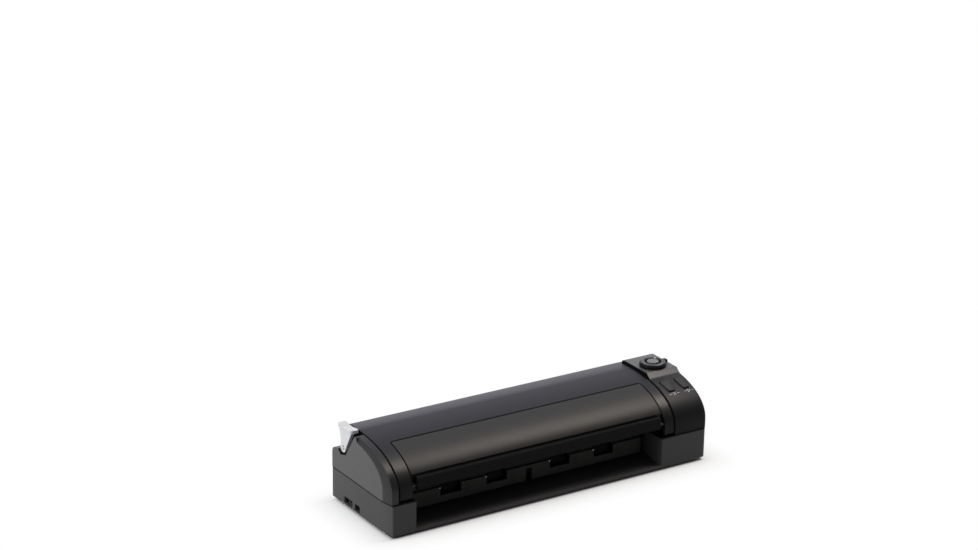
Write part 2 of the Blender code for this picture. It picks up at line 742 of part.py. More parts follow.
def build_bottom():
    """Bottom plate under the walls, with screw wells and the four feet in it."""
    outline = rectangle((PLATE_LEFT_X, PLATE_RIGHT_X), (PLATE_FRONT_Y, PLATE_REAR_Y), PLATE_ROUND)
    plate_top = WALL_BOTTOM_Z - FIT_GAP
    plate = prism(outline, "z", PLATE_BOTTOM_Z, plate_top)
    for centre in BOSS_PLACES:
        well = (PLATE_BOTTOM_Z - OVERCUT, PLATE_BOTTOM_Z + SCREW_WELL_DEPTH)
        cut(plate, rod(centre, SCREW_WELL_RADIUS, *well, "z", TINY_ROUND_STEPS))
        cut(plate, rod(centre, BOSS_BORE, 0.0, plate_top + OVERCUT, "z", TINY_ROUND_STEPS))
    for row, y in FOOT_ROWS.items():
        for side, x in FOOT_SIDES.items():
            recess = (PLATE_BOTTOM_Z - OVERCUT, PLATE_BOTTOM_Z + FOOT_RECESS)
            cut(plate, rod((x, y), FOOT_RADIUS + FIT_GAP, *recess, "z", ROLLER_STEPS))
            rings = ((FOOT_RADIUS - FOOT_EDGE, 0.0), (FOOT_RADIUS, FOOT_EDGE), (FOOT_RADIUS, FOOT_HEIGHT))
            part(turned((x, y), rings, ROLLER_STEPS), f"foot_{row}_{side}", "rubber")
    part(plate, "bottom_plate", "dark")


def build_left_end_cap():
    """End cap with a bevelled rim, a notch for the lever and a boss for the cover's pin."""
    bottom = PARTING_Z + FIT_GAP
    rear = rear_points(bottom)
    full = [(FRONT_FACE_Y, bottom)] + crown() + rear
    face = [(FRONT_FACE_Y + CROWN_RUN - FACE_RUN, bottom)]
    for inner, outer in zip(crown(FACE_RUN, FACE_RISE), crown()):
        face.append(inner if inner[0] < LEVER_PIVOT_Y - FACE_BEVEL_AHEAD else outer)
    face += rear
    sections = ((0.0, face), (TOE_INSET, full), (CAP_INNER_X, full))
    body = loft([[(x, y, z) for y, z in outline] for x, outline in sections])
    roof = [point for point in crown(within=HOUSING_WALL) if point[0] < LEVER_PIVOT_Y - CAP_POCKET_AHEAD]
    hollow = [(roof[0][0], bottom - CUT_PAST)] + roof + [(roof[-1][0], bottom - CUT_PAST)]
    cut(body, prism(hollow, "x", CAP_POCKET_X, CAP_INNER_X + OVERCUT))
    hinge = (HINGE_Y, HINGE_Z)
    join(body, rod(hinge, HINGE_BOSS_RADIUS, CAP_POCKET_X - OVERCUT, CAP_INNER_X - FIT_GAP))
    bore = (CAP_POCKET_X, CAP_INNER_X + OVERCUT)
    cut(body, rod(hinge, HINGE_PIN_RADIUS + FIT_GAP, *bore, steps=SMALL_ROUND_STEPS))
    pivot = (LEVER_PIVOT_Y, LEVER_PIVOT_Z)
    notch = [(pivot[0] + a, pivot[1] + b) for a, b in NOTCH_FRONT + NOTCH_REAR]
    cut(body, prism(notch, "x", -CUT_PAST, CAP_INNER_X + CUT_PAST))
    join(body, rod(pivot, CAP_EAR_RADIUS, CAP_WEB_X, CAP_INNER_X - FIT_GAP))
    bore = (CAP_WEB_X - OVERCUT, CAP_INNER_X + OVERCUT)
    cut(body, rod(pivot, LEVER_PIN_RADIUS + FIT_GAP, *bore, steps=SMALL_ROUND_STEPS))
    part(body, "left_end_cap", "charcoal")


def lever_stem():
    """Side outline of the lever's stem: round hub, straight front edge and a waisted rear edge."""
    pivot = (LEVER_PIVOT_Y, LEVER_PIVOT_Z)
    top = LEVER_PAD_Z[0] + FIT_GAP
    front, rear = LEVER_SHOULDER_Y
    edges = [(pivot[0] + a, pivot[1] + b) for a, b in (LEVER_WAIST, (rear, top), (front, top))]
    return arc(pivot, LEVER_HUB, 180.0, 360.0, LEVER_HUB_STEPS) + edges


def build_lever():
    """Release lever with its pin and return spring."""
    pivot = (LEVER_PIVOT_Y, LEVER_PIVOT_Z)
    body = prism(lever_stem(), "x", *LEVER_STEM_X)
    pad_y = [LEVER_PIVOT_Y + y for y in LEVER_PAD_Y]
    pad_z = [LEVER_PIVOT_Z + z for z in LEVER_PAD_Z]
    outer, inner = LEVER_PAD_CORNERS
    pad = [
        (LEVER_PAD_X[0], pad_y[0], outer),
        (LEVER_PAD_X[1], pad_y[0], inner),
        (LEVER_PAD_X[1], pad_y[1], inner),
        (LEVER_PAD_X[0], pad_y[1], outer),
    ]
    join(body, prism(rounded_outline(pad), "z", *pad_z))
    scoop = (sum(pad_y) / 2, pad_z[1] + LEVER_SCOOP_RADIUS - LEVER_SCOOP_DEPTH)
    scoop_x = (LEVER_PAD_X[0] - OVERCUT, LEVER_PAD_X[1] + OVERCUT)
    cut(body, rod(scoop, LEVER_SCOOP_RADIUS, *scoop_x, steps=SCOOP_STEPS))
    bore = (-OVERCUT, LEVER_STEM_X[1] + OVERCUT)
    cut(body, rod(pivot, LEVER_PIN_RADIUS + FIT_GAP, *bore, steps=SMALL_ROUND_STEPS))
    part(body, "release_lever", "silver", (LEVER_STEM_X[0], *pivot))
    pin = rod(pivot, LEVER_PIN_RADIUS, *LEVER_PIN_X, steps=SMALL_ROUND_STEPS)
    part(pin, "lever_pin", "steel")
    rings = []
    total = round(SPRING_TURNS * SPRING_STEPS)
    for k in range(total + 1):
        angle = 2 * math.pi * k / SPRING_STEPS
        x = SPRING_X[0] + (SPRING_X[1] - SPRING_X[0]) * k / total
        ring = []
        for a, b in circle((SPRING_RADIUS, x), SPRING_WIRE, WIRE_STEPS):
            ring.append((b, LEVER_PIVOT_Y + a * math.cos(angle), LEVER_PIVOT_Z + a * math.sin(angle)))
        rings.append(ring)
    part(loft(rings), "lever_spring", "steel")


def flap_plan(clearance):
    """Plan outline of the flap, grown by a clearance and open towards the front."""
    left = FLAP_LEFT_X - clearance
    right = FLAP_RIGHT_X + clearance
    top = FLAP_TOP_Y + clearance
    front = [(left, -CUT_PAST, 0), (right, -CUT_PAST, 0)]
    rear = [(right, top, FLAP_CORNER), (left, top, FLAP_CORNER)]
    return rounded_outline(front + rear)


def cover_outline():
    """Side outline of the cover, rounded about the hinge at the front foot."""
    foot = arc((HINGE_Y, HINGE_Z), HINGE_Y - FRONT_FACE_Y, 270.0, 180.0, HINGE_ROUND_STEPS)
    return foot + crown() + rear_points(COVER_BOTTOM_Z)


def build_cover():
    """Cover shell with end walls, flap opening, rear mouth and rim flanges."""
    outline = cover_outline()
    body = prism(outline, "x", COVER_LEFT_X, COVER_RIGHT_X)
    roof = crown(within=WALL)
    hollow = [(roof[0][0], 0.0)] + roof + rear_points(0.0, within=WALL)
    cut(body, prism(hollow, "x", COVER_LEFT_X + WALL, COVER_RIGHT_X - WALL))
    mouth_x = (COVER_LEFT_X + WALL, COVER_RIGHT_X - WALL)
    cut(body, box(mouth_x, (TOP_REAR_Y, DEPTH + CUT_PAST), (0.0, MOUTH_TOP_Z)))
    rib = [crown(within=depth)[:RIM_FLANGE_STEPS] for depth in (WALL / 2, RIM_FLANGE_DEPTH)]
    flange = [(rib[0][0][0], HINGE_Z)] + rib[0] + rib[1][::-1] + [(rib[1][0][0], HINGE_Z)]
    for x in (FLAP_LEFT_X - SEAM_GAP - RIM_FLANGE, FLAP_RIGHT_X + SEAM_GAP - OVERCUT):
        join(body, prism(flange, "x", x, x + RIM_FLANGE + OVERCUT))
    cut(body, prism(flap_plan(SEAM_GAP), "z", 0.0, TOP_REAR_Z + CUT_PAST))
    hinge = (HINGE_Y, HINGE_Z)
    for x in (COVER_LEFT_X, COVER_RIGHT_X):
        wall = (x - WALL - OVERCUT, x + WALL + OVERCUT)
        cut(body, rod(hinge, HINGE_PIN_RADIUS + FIT_GAP, *wall, steps=SMALL_ROUND_STEPS))
    for x in (FLAP_LEFT_X, FLAP_RIGHT_X):
        wall = (x - RIM_FLANGE - OVERCUT, x + RIM_FLANGE + OVERCUT)
        axis = (FLAP_HINGE_Y, FLAP_HINGE_Z)
        cut(body, rod(axis, FLAP_PIN_RADIUS + FIT_GAP, *wall, steps=SMALL_ROUND_STEPS))
    part(body, "top_cover", "charcoal", (COVER_LEFT_X, HINGE_Y, HINGE_Z))
    left = CAP_INNER_X - HINGE_PIN_REACH
    right = HEAD_LEFT_X + HINGE_PIN_REACH
    pin = rod(hinge, HINGE_PIN_RADIUS, left, left + HINGE_PIN_LENGTH, steps=SMALL_ROUND_STEPS)
    part(pin, "cover_hinge_pin_left", "steel")
    pin = rod(hinge, HINGE_PIN_RADIUS, right - HINGE_PIN_LENGTH, right, steps=SMALL_ROUND_STEPS)
    part(pin, "cover_hinge_pin_right", "steel")


def build_flap():
    """Front flap, the bar at its foot and its two hinge pins."""
    axis = (FLAP_HINGE_Y, FLAP_HINGE_Z)
    rear_y = FLAP_TOP_Y + CUT_PAST
    arch = [p for p in crown() if p[1] > FLAP_FOOT_Z + OVERCUT and p[0] < rear_y]
    under = [p for p in crown(within=FLAP_THICK) if FLAP_FLANGE_Y[1] + OVERCUT < p[0] < rear_y]
    arch = [(crown_depth(FLAP_FOOT_Z), FLAP_FOOT_Z)] + arch
    flange = [
        (FLAP_FLANGE_Y[1], FLAP_FOOT_Z - FLAP_FOOT_DROP),
        (FLAP_FLANGE_Y[1], FLAP_FLANGE_BOTTOM_Z),
        (FLAP_FLANGE_Y[0], FLAP_FLANGE_BOTTOM_Z),
        (FLAP_FLANGE_Y[0], FLAP_FOOT_Z - FLAP_FOOT_STEP),
    ]
    panel = arch + under[::-1] + flange
    body = prism(panel, "x", FLAP_LEFT_X, FLAP_RIGHT_X)
    combine(body, prism(flap_plan(0.0), "z", 0.0, TOP_REAR_Z + CUT_PAST), "INTERSECT")
    part(body, "front_flap", "charcoal", (FLAP_LEFT_X, *axis))
    section = [
        (BAR_FRONT_Y + BAR_CHAMFER, BAR_BOTTOM_Z),
        (BAR_REAR_Y - BAR_CHAMFER, BAR_BOTTOM_Z),
        (BAR_REAR_Y, BAR_BOTTOM_Z + BAR_CHAMFER),
        (BAR_REAR_Y, BAR_TOP_Z),
        (BAR_FRONT_Y + BAR_CHAMFER, BAR_TOP_Z),
        (BAR_FRONT_Y, BAR_TOP_Z - BAR_CHAMFER),
        (BAR_FRONT_Y, BAR_BOTTOM_Z + BAR_CHAMFER),
    ]
    bar = prism(section, "x", BAR_LEFT_X, BAR_RIGHT_X)
    pins = {
        "left": FLAP_LEFT_X - FLAP_PIN_REACH,
        "right": FLAP_RIGHT_X + FLAP_PIN_REACH - FLAP_PIN_LENGTH,
    }
    for side, x in pins.items():
        bore = (x - FIT_GAP, x + FLAP_PIN_LENGTH + FIT_GAP)
        cut(bar, rod(axis, FLAP_PIN_RADIUS + FIT_GAP, *bore, steps=SMALL_ROUND_STEPS))
        pin = rod(axis, FLAP_PIN_RADIUS, x, x + FLAP_PIN_LENGTH, steps=SMALL_ROUND_STEPS)
        part(pin, f"flap_pin_{side}", "black")
    part(bar, "flap_bar", "black", (BAR_LEFT_X, *axis))


def build_platen():
    """Lower paper guide with openings for the drive rollers and the lower sensor."""
    top = [(PLATEN_FRONT_Y, PATH_START_Z), (PATH_START_Y, PATH_START_Z), path_point(PLATEN_END_Y)]
    low = PATH_START_Z - PLATEN_THICK
    under = [path_point(PLATEN_END_Y, -PLATEN_THICK), (PATH_START_Y, low), (PLATEN_FRONT_Y, low)]
    sides = (SLOT_LEFT_X + PLATEN_SIDE_GAP, SLOT_RIGHT_X - PLATEN_SIDE_GAP)
    body = prism(top + under, "x", *sides)
    tall = (0.0, PARTING_Z + CUT_PAST)
    for x in ROLLER_CENTRES_X:
        reach = FRONT_ROLLER + WINDOW_MARGIN
        window = (x - WINDOW_WIDTH / 2, x + WINDOW_WIDTH / 2)
        cut(body, box(window, (FRONT_DRIVE[0] - reach, FRONT_DRIVE[0] + reach), tall))
    reach = REAR_ROLLER + WINDOW_MARGIN
    rear_x = (REAR_ROLLER_X[0] - WINDOW_MARGIN, REAR_ROLLER_X[1] + WINDOW_MARGIN)
    cut(body, box(rear_x, (REAR_DRIVE[0] - reach, REAR_DRIVE[0] + reach), tall))
    glass_x = (LOWER_SENSOR_X[0] - FIT_GAP, LOWER_SENSOR_X[1] + FIT_GAP)
    cut(body, box(glass_x, SENSOR_WINDOW_Y, tall))
    part(body, "lower_paper_guide", "inner")


def guide_side():
    """Side outline of the upper guide's end plates."""
    return [
        (GUIDE_FACE_Y, GUIDE_LIP_Z),
        path_point(GUIDE_MOUTH_Y, PAPER_GAP),
        path_point(GUIDE_END_Y, PAPER_GAP),
        GUIDE_REAR_TOP,
        GUIDE_BACK,
        GUIDE_CREST,
        GUIDE_SHOULDER,
        (GUIDE_FACE_Y + GUIDE_STEP, GUIDE_FACE_TOP_Z),
        (GUIDE_FACE_Y + GUIDE_STEP, GUIDE_STEP_Z),
        (GUIDE_FACE_Y, GUIDE_STEP_Z),
    ]


def build_upper_guide():
    """Upper paper guide: stepped front face with roller windows, path sheet and end plates."""
    outline = guide_side()
    body = prism(outline, "x", GUIDE_LEFT_X, GUIDE_RIGHT_X)
    inner = inset(outline, GUIDE_THICK)
    rear = GUIDE_END_Y + CUT_PAST
    opened = inner[:2] + [
        (rear, path_point(rear, PAPER_GAP + GUIDE_THICK)[1]),
        (rear, TOP_REAR_Z),
        (GUIDE_CREST[0] + OVERCUT, TOP_REAR_Z),
        *inner[5:],
    ]
    cut(body, prism(opened, "x", GUIDE_LEFT_X + GUIDE_THICK, GUIDE_RIGHT_X - GUIDE_THICK))
    face = (GUIDE_FACE_Y - OVERCUT, GUIDE_FACE_Y + GUIDE_STEP + GUIDE_THICK + OVERCUT)
    for x in ROLLER_CENTRES_X:
        window = (x - WINDOW_WIDTH / 2, x + WINDOW_WIDTH / 2)
        cut(body, box(window, face, (WINDOW_BOTTOM_Z, WINDOW_TOP_Z)))
        reach = FRONT_PINCH + WINDOW_MARGIN
        floor = (FRONT_IDLE[0] - reach, FRONT_IDLE[0] + reach)
        cut(body, box(window, floor, (0.0, FRONT_IDLE[1])))
    reach = REAR_PINCH + WINDOW_MARGIN
    rear_x = (REAR_ROLLER_X[0] - WINDOW_MARGIN, REAR_ROLLER_X[1] + WINDOW_MARGIN)
    cut(body, box(rear_x, (REAR_IDLE[0] - reach, REAR_IDLE[0] + reach), (0.0, REAR_IDLE[1])))
    glass_x = (UPPER_SENSOR_X[0] - FIT_GAP, UPPER_SENSOR_X[1] + FIT_GAP)
    cut(body, box(glass_x, SENSOR_WINDOW_Y, (0.0, REAR_IDLE[1])))
    flag_top = FLAG_PIVOT_Z + FLAG_HUB + OVERCUT
    cut(body, box(FLAG_SLOT_X, (face[0], FLAG_SLOT_REAR_Y), (0.0, flag_top)))
    for x in (FLAG_SLOT_X[0] - FLAG_EAR, FLAG_SLOT_X[1]):
        join(body, box((x, x + FLAG_EAR), FLAG_EAR_Y, FLAG_EAR_Z))
        bore = (x - OVERCUT, x + FLAG_EAR + OVERCUT)
        pivot = (FLAG_PIVOT_Y, FLAG_PIVOT_Z)
        cut(body, rod(pivot, FLAG_PIN_RADIUS + FIT_GAP, *bore, steps=SMALL_ROUND_STEPS))
    for centre in (FRONT_IDLE, REAR_IDLE):
        for x in (GUIDE_LEFT_X, GUIDE_RIGHT_X):
            bore = (x - GUIDE_THICK - OVERCUT, x + GUIDE_THICK + OVERCUT)
            cut(body, rod(centre, PINCH_AXLE_RADIUS + FIT_GAP, *bore, steps=SMALL_ROUND_STEPS))
    part(body, "upper_paper_guide", "inner")


def build_rollers():
    """Drive shafts with rollers and bushes, and the idle rollers over them."""
    sides = (SLOT_LEFT_X - BULKHEAD / 2, SLOT_RIGHT_X + BULKHEAD / 2)
    for name, centre in (("front", FRONT_DRIVE), ("rear", REAR_DRIVE)):
        shaft = rod(centre, SHAFT_RADIUS, SHAFT_LEFT_X, SHAFT_RIGHT_X, steps=SMALL_ROUND_STEPS)
        part(shaft, f"{name}_drive_shaft", "steel", (SHAFT_LEFT_X, *centre))
        for side, x in zip(("left", "right"), sides):
            ends = (x - BUSH_LENGTH / 2, x + BUSH_LENGTH / 2)
            bush = tube(centre, BUSH_OUTER, SHAFT_RADIUS + FIT_GAP, *ends, SMALL_ROUND_STEPS)
            part(bush, f"{name}_bush_{side}", "nylon")
    for number, x in enumerate(ROLLER_CENTRES_X, 1):
        ends = (x - ROLLER_WIDTH / 2, x + ROLLER_WIDTH / 2)
        roller = tube(FRONT_DRIVE, FRONT_ROLLER, SHAFT_RADIUS + FIT_GAP, *ends, ROLLER_STEPS)
        part(roller, f"front_drive_roller_{number}", "rubber", (ends[0], *FRONT_DRIVE))
        roller = tube(FRONT_IDLE, FRONT_PINCH, PINCH_AXLE_RADIUS + FIT_GAP, *ends, ROLLER_STEPS)
        part(roller, f"front_pinch_roller_{number}", "rubber", (ends[0], *FRONT_IDLE))
    roller = tube(REAR_DRIVE, REAR_ROLLER, SHAFT_RADIUS + FIT_GAP, *REAR_ROLLER_X, ROLLER_STEPS)
    part(roller, "rear_drive_roller", "rubber", (REAR_ROLLER_X[0], *REAR_DRIVE))
    ends = (GUIDE_LEFT_X - FIT_GAP, GUIDE_RIGHT_X + FIT_GAP)
    axle = rod(FRONT_IDLE, PINCH_AXLE_RADIUS, *ends, steps=SMALL_ROUND_STEPS)
    part(axle, "front_pinch_axle", "steel", (ends[0], *FRONT_IDLE))
    axle = rod(REAR_IDLE, PINCH_AXLE_RADIUS, *ends, steps=SMALL_ROUND_STEPS)
    for x in ROLLER_CENTRES_X:
        land = (x - REAR_PINCH_LAND / 2, x + REAR_PINCH_LAND / 2)
        join(axle, rod(REAR_IDLE, REAR_PINCH, *land, steps=ROLLER_STEPS))
    part(axle, "rear_pinch_roller", "nylon", (ends[0], *REAR_IDLE))


def build_sensors():
    """Image sensor bars with their glasses, facing each other across the path."""
    low_glass = -GLASS_RECESS - GLASS_THICK
    low_top = low_glass - FIT_GAP
    glass = path_block(SENSOR_STATION_Y, GLASS_WIDTH / 2, low_glass, -GLASS_RECESS)
    part(prism(glass, "x", *LOWER_SENSOR_X), "lower_sensor_glass", "glass")
    bar = path_block(SENSOR_STATION_Y, SENSOR_WIDTH / 2, low_top - SENSOR_DEPTH, low_top)
    part(prism(bar, "x", *LOWER_SENSOR_X), "lower_sensor_bar", "black")
    high_glass = PAPER_GAP + GLASS_RECESS
    high_low = high_glass + GLASS_THICK + FIT_GAP
    glass = path_block(SENSOR_STATION_Y, GLASS_WIDTH / 2, high_glass, high_glass + GLASS_THICK)
    part(prism(glass, "x", *UPPER_SENSOR_X), "upper_sensor_glass", "glass")
    bar = path_block(SENSOR_STATION_Y, SENSOR_WIDTH / 2, high_low, high_low + SENSOR_DEPTH)
    part(prism(bar, "x", *UPPER_SENSOR_X), "upper_sensor_bar", "black")


def build_drive():
    """Motor, its plate and the gears that turn both shafts."""
    pinion_turn = heading(PINION, IDLER)
    idler_turn = meshed_turn(pinion_turn, PINION_TEETH, heading(PINION, IDLER), IDLER_TEETH)
    front_turn = meshed_turn(idler_turn, IDLER_TEETH, heading(IDLER, FRONT_DRIVE), FRONT_TEETH)
    rear_turn = meshed_turn(idler_turn, IDLER_TEETH, heading(IDLER, REAR_DRIVE), REAR_TEETH)
    pinion = prism(gear_outline(PINION, PINION_TEETH, pinion_turn), "x", *GEAR_X)
    shaft = (GEAR_X[1] - OVERCUT, MOTOR_X[0] + PINION_SHAFT_DEPTH)
    join(pinion, rod(PINION, PINION_SHAFT_RADIUS, *shaft, steps=TINY_ROUND_STEPS))
    part(pinion, "motor_pinion", "brass", (GEAR_X[0], *PINION))
    gear("idler_gear", IDLER, IDLER_TEETH, idler_turn, STUD_RADIUS + FIT_GAP, "nylon")
    gear("front_shaft_gear", FRONT_DRIVE, FRONT_TEETH, front_turn, SHAFT_RADIUS + FIT_GAP, "nylon")
    gear("rear_shaft_gear", REAR_DRIVE, REAR_TEETH, rear_turn, SHAFT_RADIUS + FIT_GAP, "nylon")
    plate = box(MOTOR_PLATE_X, MOTOR_PLATE_Y, (WALL_BOTTOM_Z, MOTOR_PLATE_TOP_Z))
    hole = (MOTOR_PLATE_X[0] - OVERCUT, MOTOR_PLATE_X[1] + OVERCUT)
    cut(plate, rod(PINION, MOTOR_BOSS_RADIUS, *hole, steps=SMALL_ROUND_STEPS))
    stud = (GEAR_X[0] - FIT_GAP, MOTOR_PLATE_X[1] - FIT_GAP)
    join(plate, rod(IDLER, STUD_RADIUS, *stud, steps=SMALL_ROUND_STEPS))
    part(plate, "motor_plate", "steel")
    motor = rod(PINION, MOTOR_RADIUS, *MOTOR_X)
    bore = (MOTOR_X[0] - OVERCUT, MOTOR_X[0] + PINION_SHAFT_DEPTH + FIT_GAP)
    cut(motor, rod(PINION, PINION_SHAFT_RADIUS + FIT_GAP, *bore, steps=TINY_ROUND_STEPS))
    part(motor, "stepper_motor", "steel")


def build_boards():
    """Main board, port board and the two sockets."""
    part(box(MAIN_BOARD_X, MAIN_BOARD_Y, MAIN_BOARD_Z), "main_board", "board")
    part(box(PORT_BOARD_X, PORT_BOARD_Y, PORT_BOARD_Z), "port_board", "board")
    usb = box(USB_SOCKET_X, USB_SOCKET_Y, (USB_SOCKET_Z[0], USB_RISER_TOP_Z))
    hole_y = (USB_SOCKET_Y[0] + USB_SHELL, USB_SOCKET_Y[1] - USB_SHELL)
    hole_z = (USB_SOCKET_Z[0] + USB_SHELL, USB_SOCKET_Z[1] - USB_SHELL)
    cut(usb, box((USB_SOCKET_X[0] - OVERCUT, USB_SOCKET_X[1] - USB_SHELL), hole_y, hole_z))
    part(usb, "usb_socket", "steel")
    jack = box(JACK_BODY_X, JACK_BODY_Y, JACK_BODY_Z)
    centre = ((JACK_Y[0] + JACK_Y[1]) / 2, (PORT_Z[0] + PORT_Z[1]) / 2)
    floor = JACK_BODY_X[0] + JACK_DEPTH
    cut(jack, rod(centre, JACK_BORE, JACK_BODY_X[0] - OVERCUT, floor, steps=SMALL_ROUND_STEPS))
    join(jack, rod(centre, JACK_PIN_RADIUS, JACK_PIN_START_X, floor + OVERCUT, steps=TINY_ROUND_STEPS))
    part(jack, "power_jack", "black")


def head_outline():
    """Side outline of the control head with its raised rear part."""
    bottom = PARTING_Z + FIT_GAP
    slope = [p for p in crown() if p[0] < RAMP_FOOT_Y - OVERCUT]
    plateau = [(RAMP_FOOT_Y, crown_height(RAMP_FOOT_Y)), (PLATEAU_FRONT_Y, PLATEAU_Z)]
    rear = rear_points(bottom, PLATEAU_REAR_Y, PLATEAU_REAR_Z)
    return [(FRONT_FACE_Y, bottom)] + slope + plateau + rear


def key_frame():
    """Middle of the keys on the slope and the slope's along and outward directions, as (y, z)."""
    half = KEY_LENGTH / 2
    low = Vector((KEY_Y - half, crown_height(KEY_Y - half)))
    high = Vector((KEY_Y + half, crown_height(KEY_Y + half)))
    along = (high - low).normalized()
    outward = Vector((-along.y, along.x))
    return Vector((KEY_Y, crown_height(KEY_Y))), along, outward


def key_prism(x, grow, low, high, edge=0.0):
    """Tapered key body square to the slope, between two heights over it, with an optional edge."""
    middle, along, outward = key_frame()
    half = KEY_LENGTH / 2 + grow
    foot = KEY_FOOT_WIDTH / 2 + grow
    top = KEY_TOP_WIDTH / 2 + grow
    spots = ((-foot, -half), (foot, -half), (top, half), (-top, half))
    plan = rounded_outline([(*spot, KEY_CORNER) for spot in spots])
    levels = [(plan, low), (plan, high - edge)]
    if edge:
        levels.append((inset(plan, edge), high))
    sections = []
    for outline, lift in levels:
        section = []
        for across, forward in outline:
            spot = middle + along * forward + outward * lift
            section.append((x + across, spot.x, spot.y))
        sections.append(section)
    return loft(sections)


def build_head():
    """Control head shell with openings for keys, dial and lamp."""
    outline = anticlockwise(head_outline())
    bottom = PARTING_Z + FIT_GAP
    sections = [(HEAD_LEFT_X, 0.0)]
    for k in range(HEAD_ROUND_STEPS + 1):
        angle = math.pi / 2 * k / HEAD_ROUND_STEPS
        along = HEAD_EDGE_ROUND * math.sin(angle)
        sections.append((LENGTH - HEAD_EDGE_ROUND + along, HEAD_EDGE_ROUND * (1 - math.cos(angle))))
    loops = []
    for x, distance in sections:
        moved = inset(outline, distance) if distance else outline
        loops.append([(x, y, bottom if old[1] == bottom else z) for (y, z), old in zip(moved, outline)])
    body = loft(loops)
    hollow = [p if old[1] != bottom else (p[0], 0.0) for p, old in zip(inset(outline, WALL), outline)]
    cut(body, prism(hollow, "x", HEAD_LEFT_X + WALL, LENGTH - HOUSING_WALL))
    hinge = (HINGE_Y, HINGE_Z)
    boss = rod(hinge, HINGE_BOSS_RADIUS, HEAD_LEFT_X + FIT_GAP, HEAD_LEFT_X + HINGE_BOSS_LENGTH)
    join(body, boss)
    bore = (HEAD_LEFT_X - OVERCUT, HEAD_LEFT_X + HINGE_PIN_REACH + FIT_GAP)
    cut(body, rod(hinge, HINGE_PIN_RADIUS + FIT_GAP, *bore, steps=SMALL_ROUND_STEPS))
    for x in KEY_CENTRES_X.values():
        cut(body, key_prism(x, KEY_GAP, -KEY_DEPTH, KEY_PROUD + OVERCUT))
    roof = (PLATEAU_Z - CUT_PAST, PLATEAU_Z + CUT_PAST)
    cut(body, rod((DIAL_X, DIAL_Y), DIAL_STEM_RADIUS + FIT_GAP, *roof, "z", SMALL_ROUND_STEPS))
    cut(body, rod((LAMP_X, LAMP_Y), LAMP_RADIUS + FIT_GAP, *roof, "z", SMALL_ROUND_STEPS))
    part(body, "control_head", "charcoal")


def build_controls():
    """Keys, control board, dial with its cap and switch, and the lamp."""
    middle, along, outward = key_frame()
    for name, x in KEY_CENTRES_X.items():
        key = key_prism(x, 0.0, -KEY_DEPTH, KEY_PROUD, KEY_EDGE)
        part(key, name, "charcoal", (x, middle.x, middle.y))
    half = CONTROL_BOARD_LENGTH / 2
    corners = []
    for forward, depth in ((-half, 0.0), (half, 0.0), (half, 1.0), (-half, 1.0)):
        lift = -CONTROL_BOARD_DEPTH - CONTROL_BOARD_THICK * (1 - depth)
        corners.append(tuple(middle + along * forward + outward * lift))
    board_x = (HEAD_LEFT_X + WALL + FIT_GAP, LENGTH - HOUSING_WALL - FIT_GAP)
    part(prism(corners, "x", *board_x), "control_board", "board")
    centre = (DIAL_X, DIAL_Y)
    seat = PLATEAU_Z + DIAL_LIFT
    top = seat + DIAL_HEIGHT
    stem_foot = PLATEAU_Z - DIAL_STEM_DEPTH
    rings = (
        (DIAL_STEM_RADIUS, stem_foot),
        (DIAL_STEM_RADIUS, seat),
        (DIAL_RADIUS, seat),
        (DIAL_RADIUS, top - DIAL_EDGE),
        (DIAL_RADIUS - DIAL_EDGE, top),
    )
    dial = turned(centre, rings)
    nub = [
        (DIAL_X + DIAL_RADIUS - NUB_ROOT, DIAL_Y - NUB_WIDTH / 2, 0),
        (DIAL_X + NUB_REACH, DIAL_Y - NUB_WIDTH / 2, NUB_ROUND),
        (DIAL_X + NUB_REACH, DIAL_Y + NUB_WIDTH / 2, NUB_ROUND),
        (DIAL_X + DIAL_RADIUS - NUB_ROOT, DIAL_Y + NUB_WIDTH / 2, 0),
    ]
    join(dial, prism(rounded_outline(nub), "z", seat + FIT_GAP, seat + NUB_HEIGHT))
    cut(dial, rod(centre, DIAL_WELL_RADIUS, top - DIAL_WELL_DEPTH, top + OVERCUT, "z"))
    part(dial, "selector_dial", "charcoal", (*centre, seat))
    floor = top - DIAL_WELL_DEPTH + FIT_GAP
    rings = ((CAP_RADIUS, floor), (CAP_RADIUS, top), (CAP_RADIUS - CAP_PROUD, top + CAP_PROUD))
    part(turned(centre, rings), "dial_cap", "charcoal", (*centre, floor))
    switch_top = PLATEAU_Z - WALL - FIT_GAP
    switch_x = (DIAL_X - SWITCH_HALF, DIAL_X + SWITCH_HALF)
    switch_y = (DIAL_Y - SWITCH_HALF, DIAL_Y + SWITCH_HALF)
    switch = box(switch_x, switch_y, (switch_top - SWITCH_HEIGHT, switch_top))
    bore = (stem_foot - FIT_GAP, switch_top + OVERCUT)
    cut(switch, rod(centre, DIAL_STEM_RADIUS + FIT_GAP, *bore, "z", SMALL_ROUND_STEPS))
    part(switch, "dial_switch", "black")
    lamp_top = PLATEAU_Z + LAMP_PROUD
    lamp = rod((LAMP_X, LAMP_Y), LAMP_RADIUS, lamp_top - LAMP_LENGTH, lamp_top, "z", SMALL_ROUND_STEPS)
    part(lamp, "status_lamp", "lamp")


def build_flag():
    """Paper sensor flag that hangs into the path."""
    pivot = (FLAG_PIVOT_Y, FLAG_PIVOT_Z)
    body = rod(pivot, FLAG_HUB, *FLAG_X, steps=SMALL_ROUND_STEPS)
    arm_y = (FLAG_PIVOT_Y - FLAG_THICK / 2, FLAG_PIVOT_Y + FLAG_THICK / 2)
    join(body, box(FLAG_X, arm_y, (FLAG_TIP_Z, FLAG_PIVOT_Z)))
    ends = (FLAG_SLOT_X[0] - FLAG_EAR, FLAG_SLOT_X[1] + FLAG_EAR)
    join(body, rod(pivot, FLAG_PIN_RADIUS, *ends, steps=SMALL_ROUND_STEPS))
    part(body, "paper_sensor_flag", "black", (FLAG_X[0], *pivot))


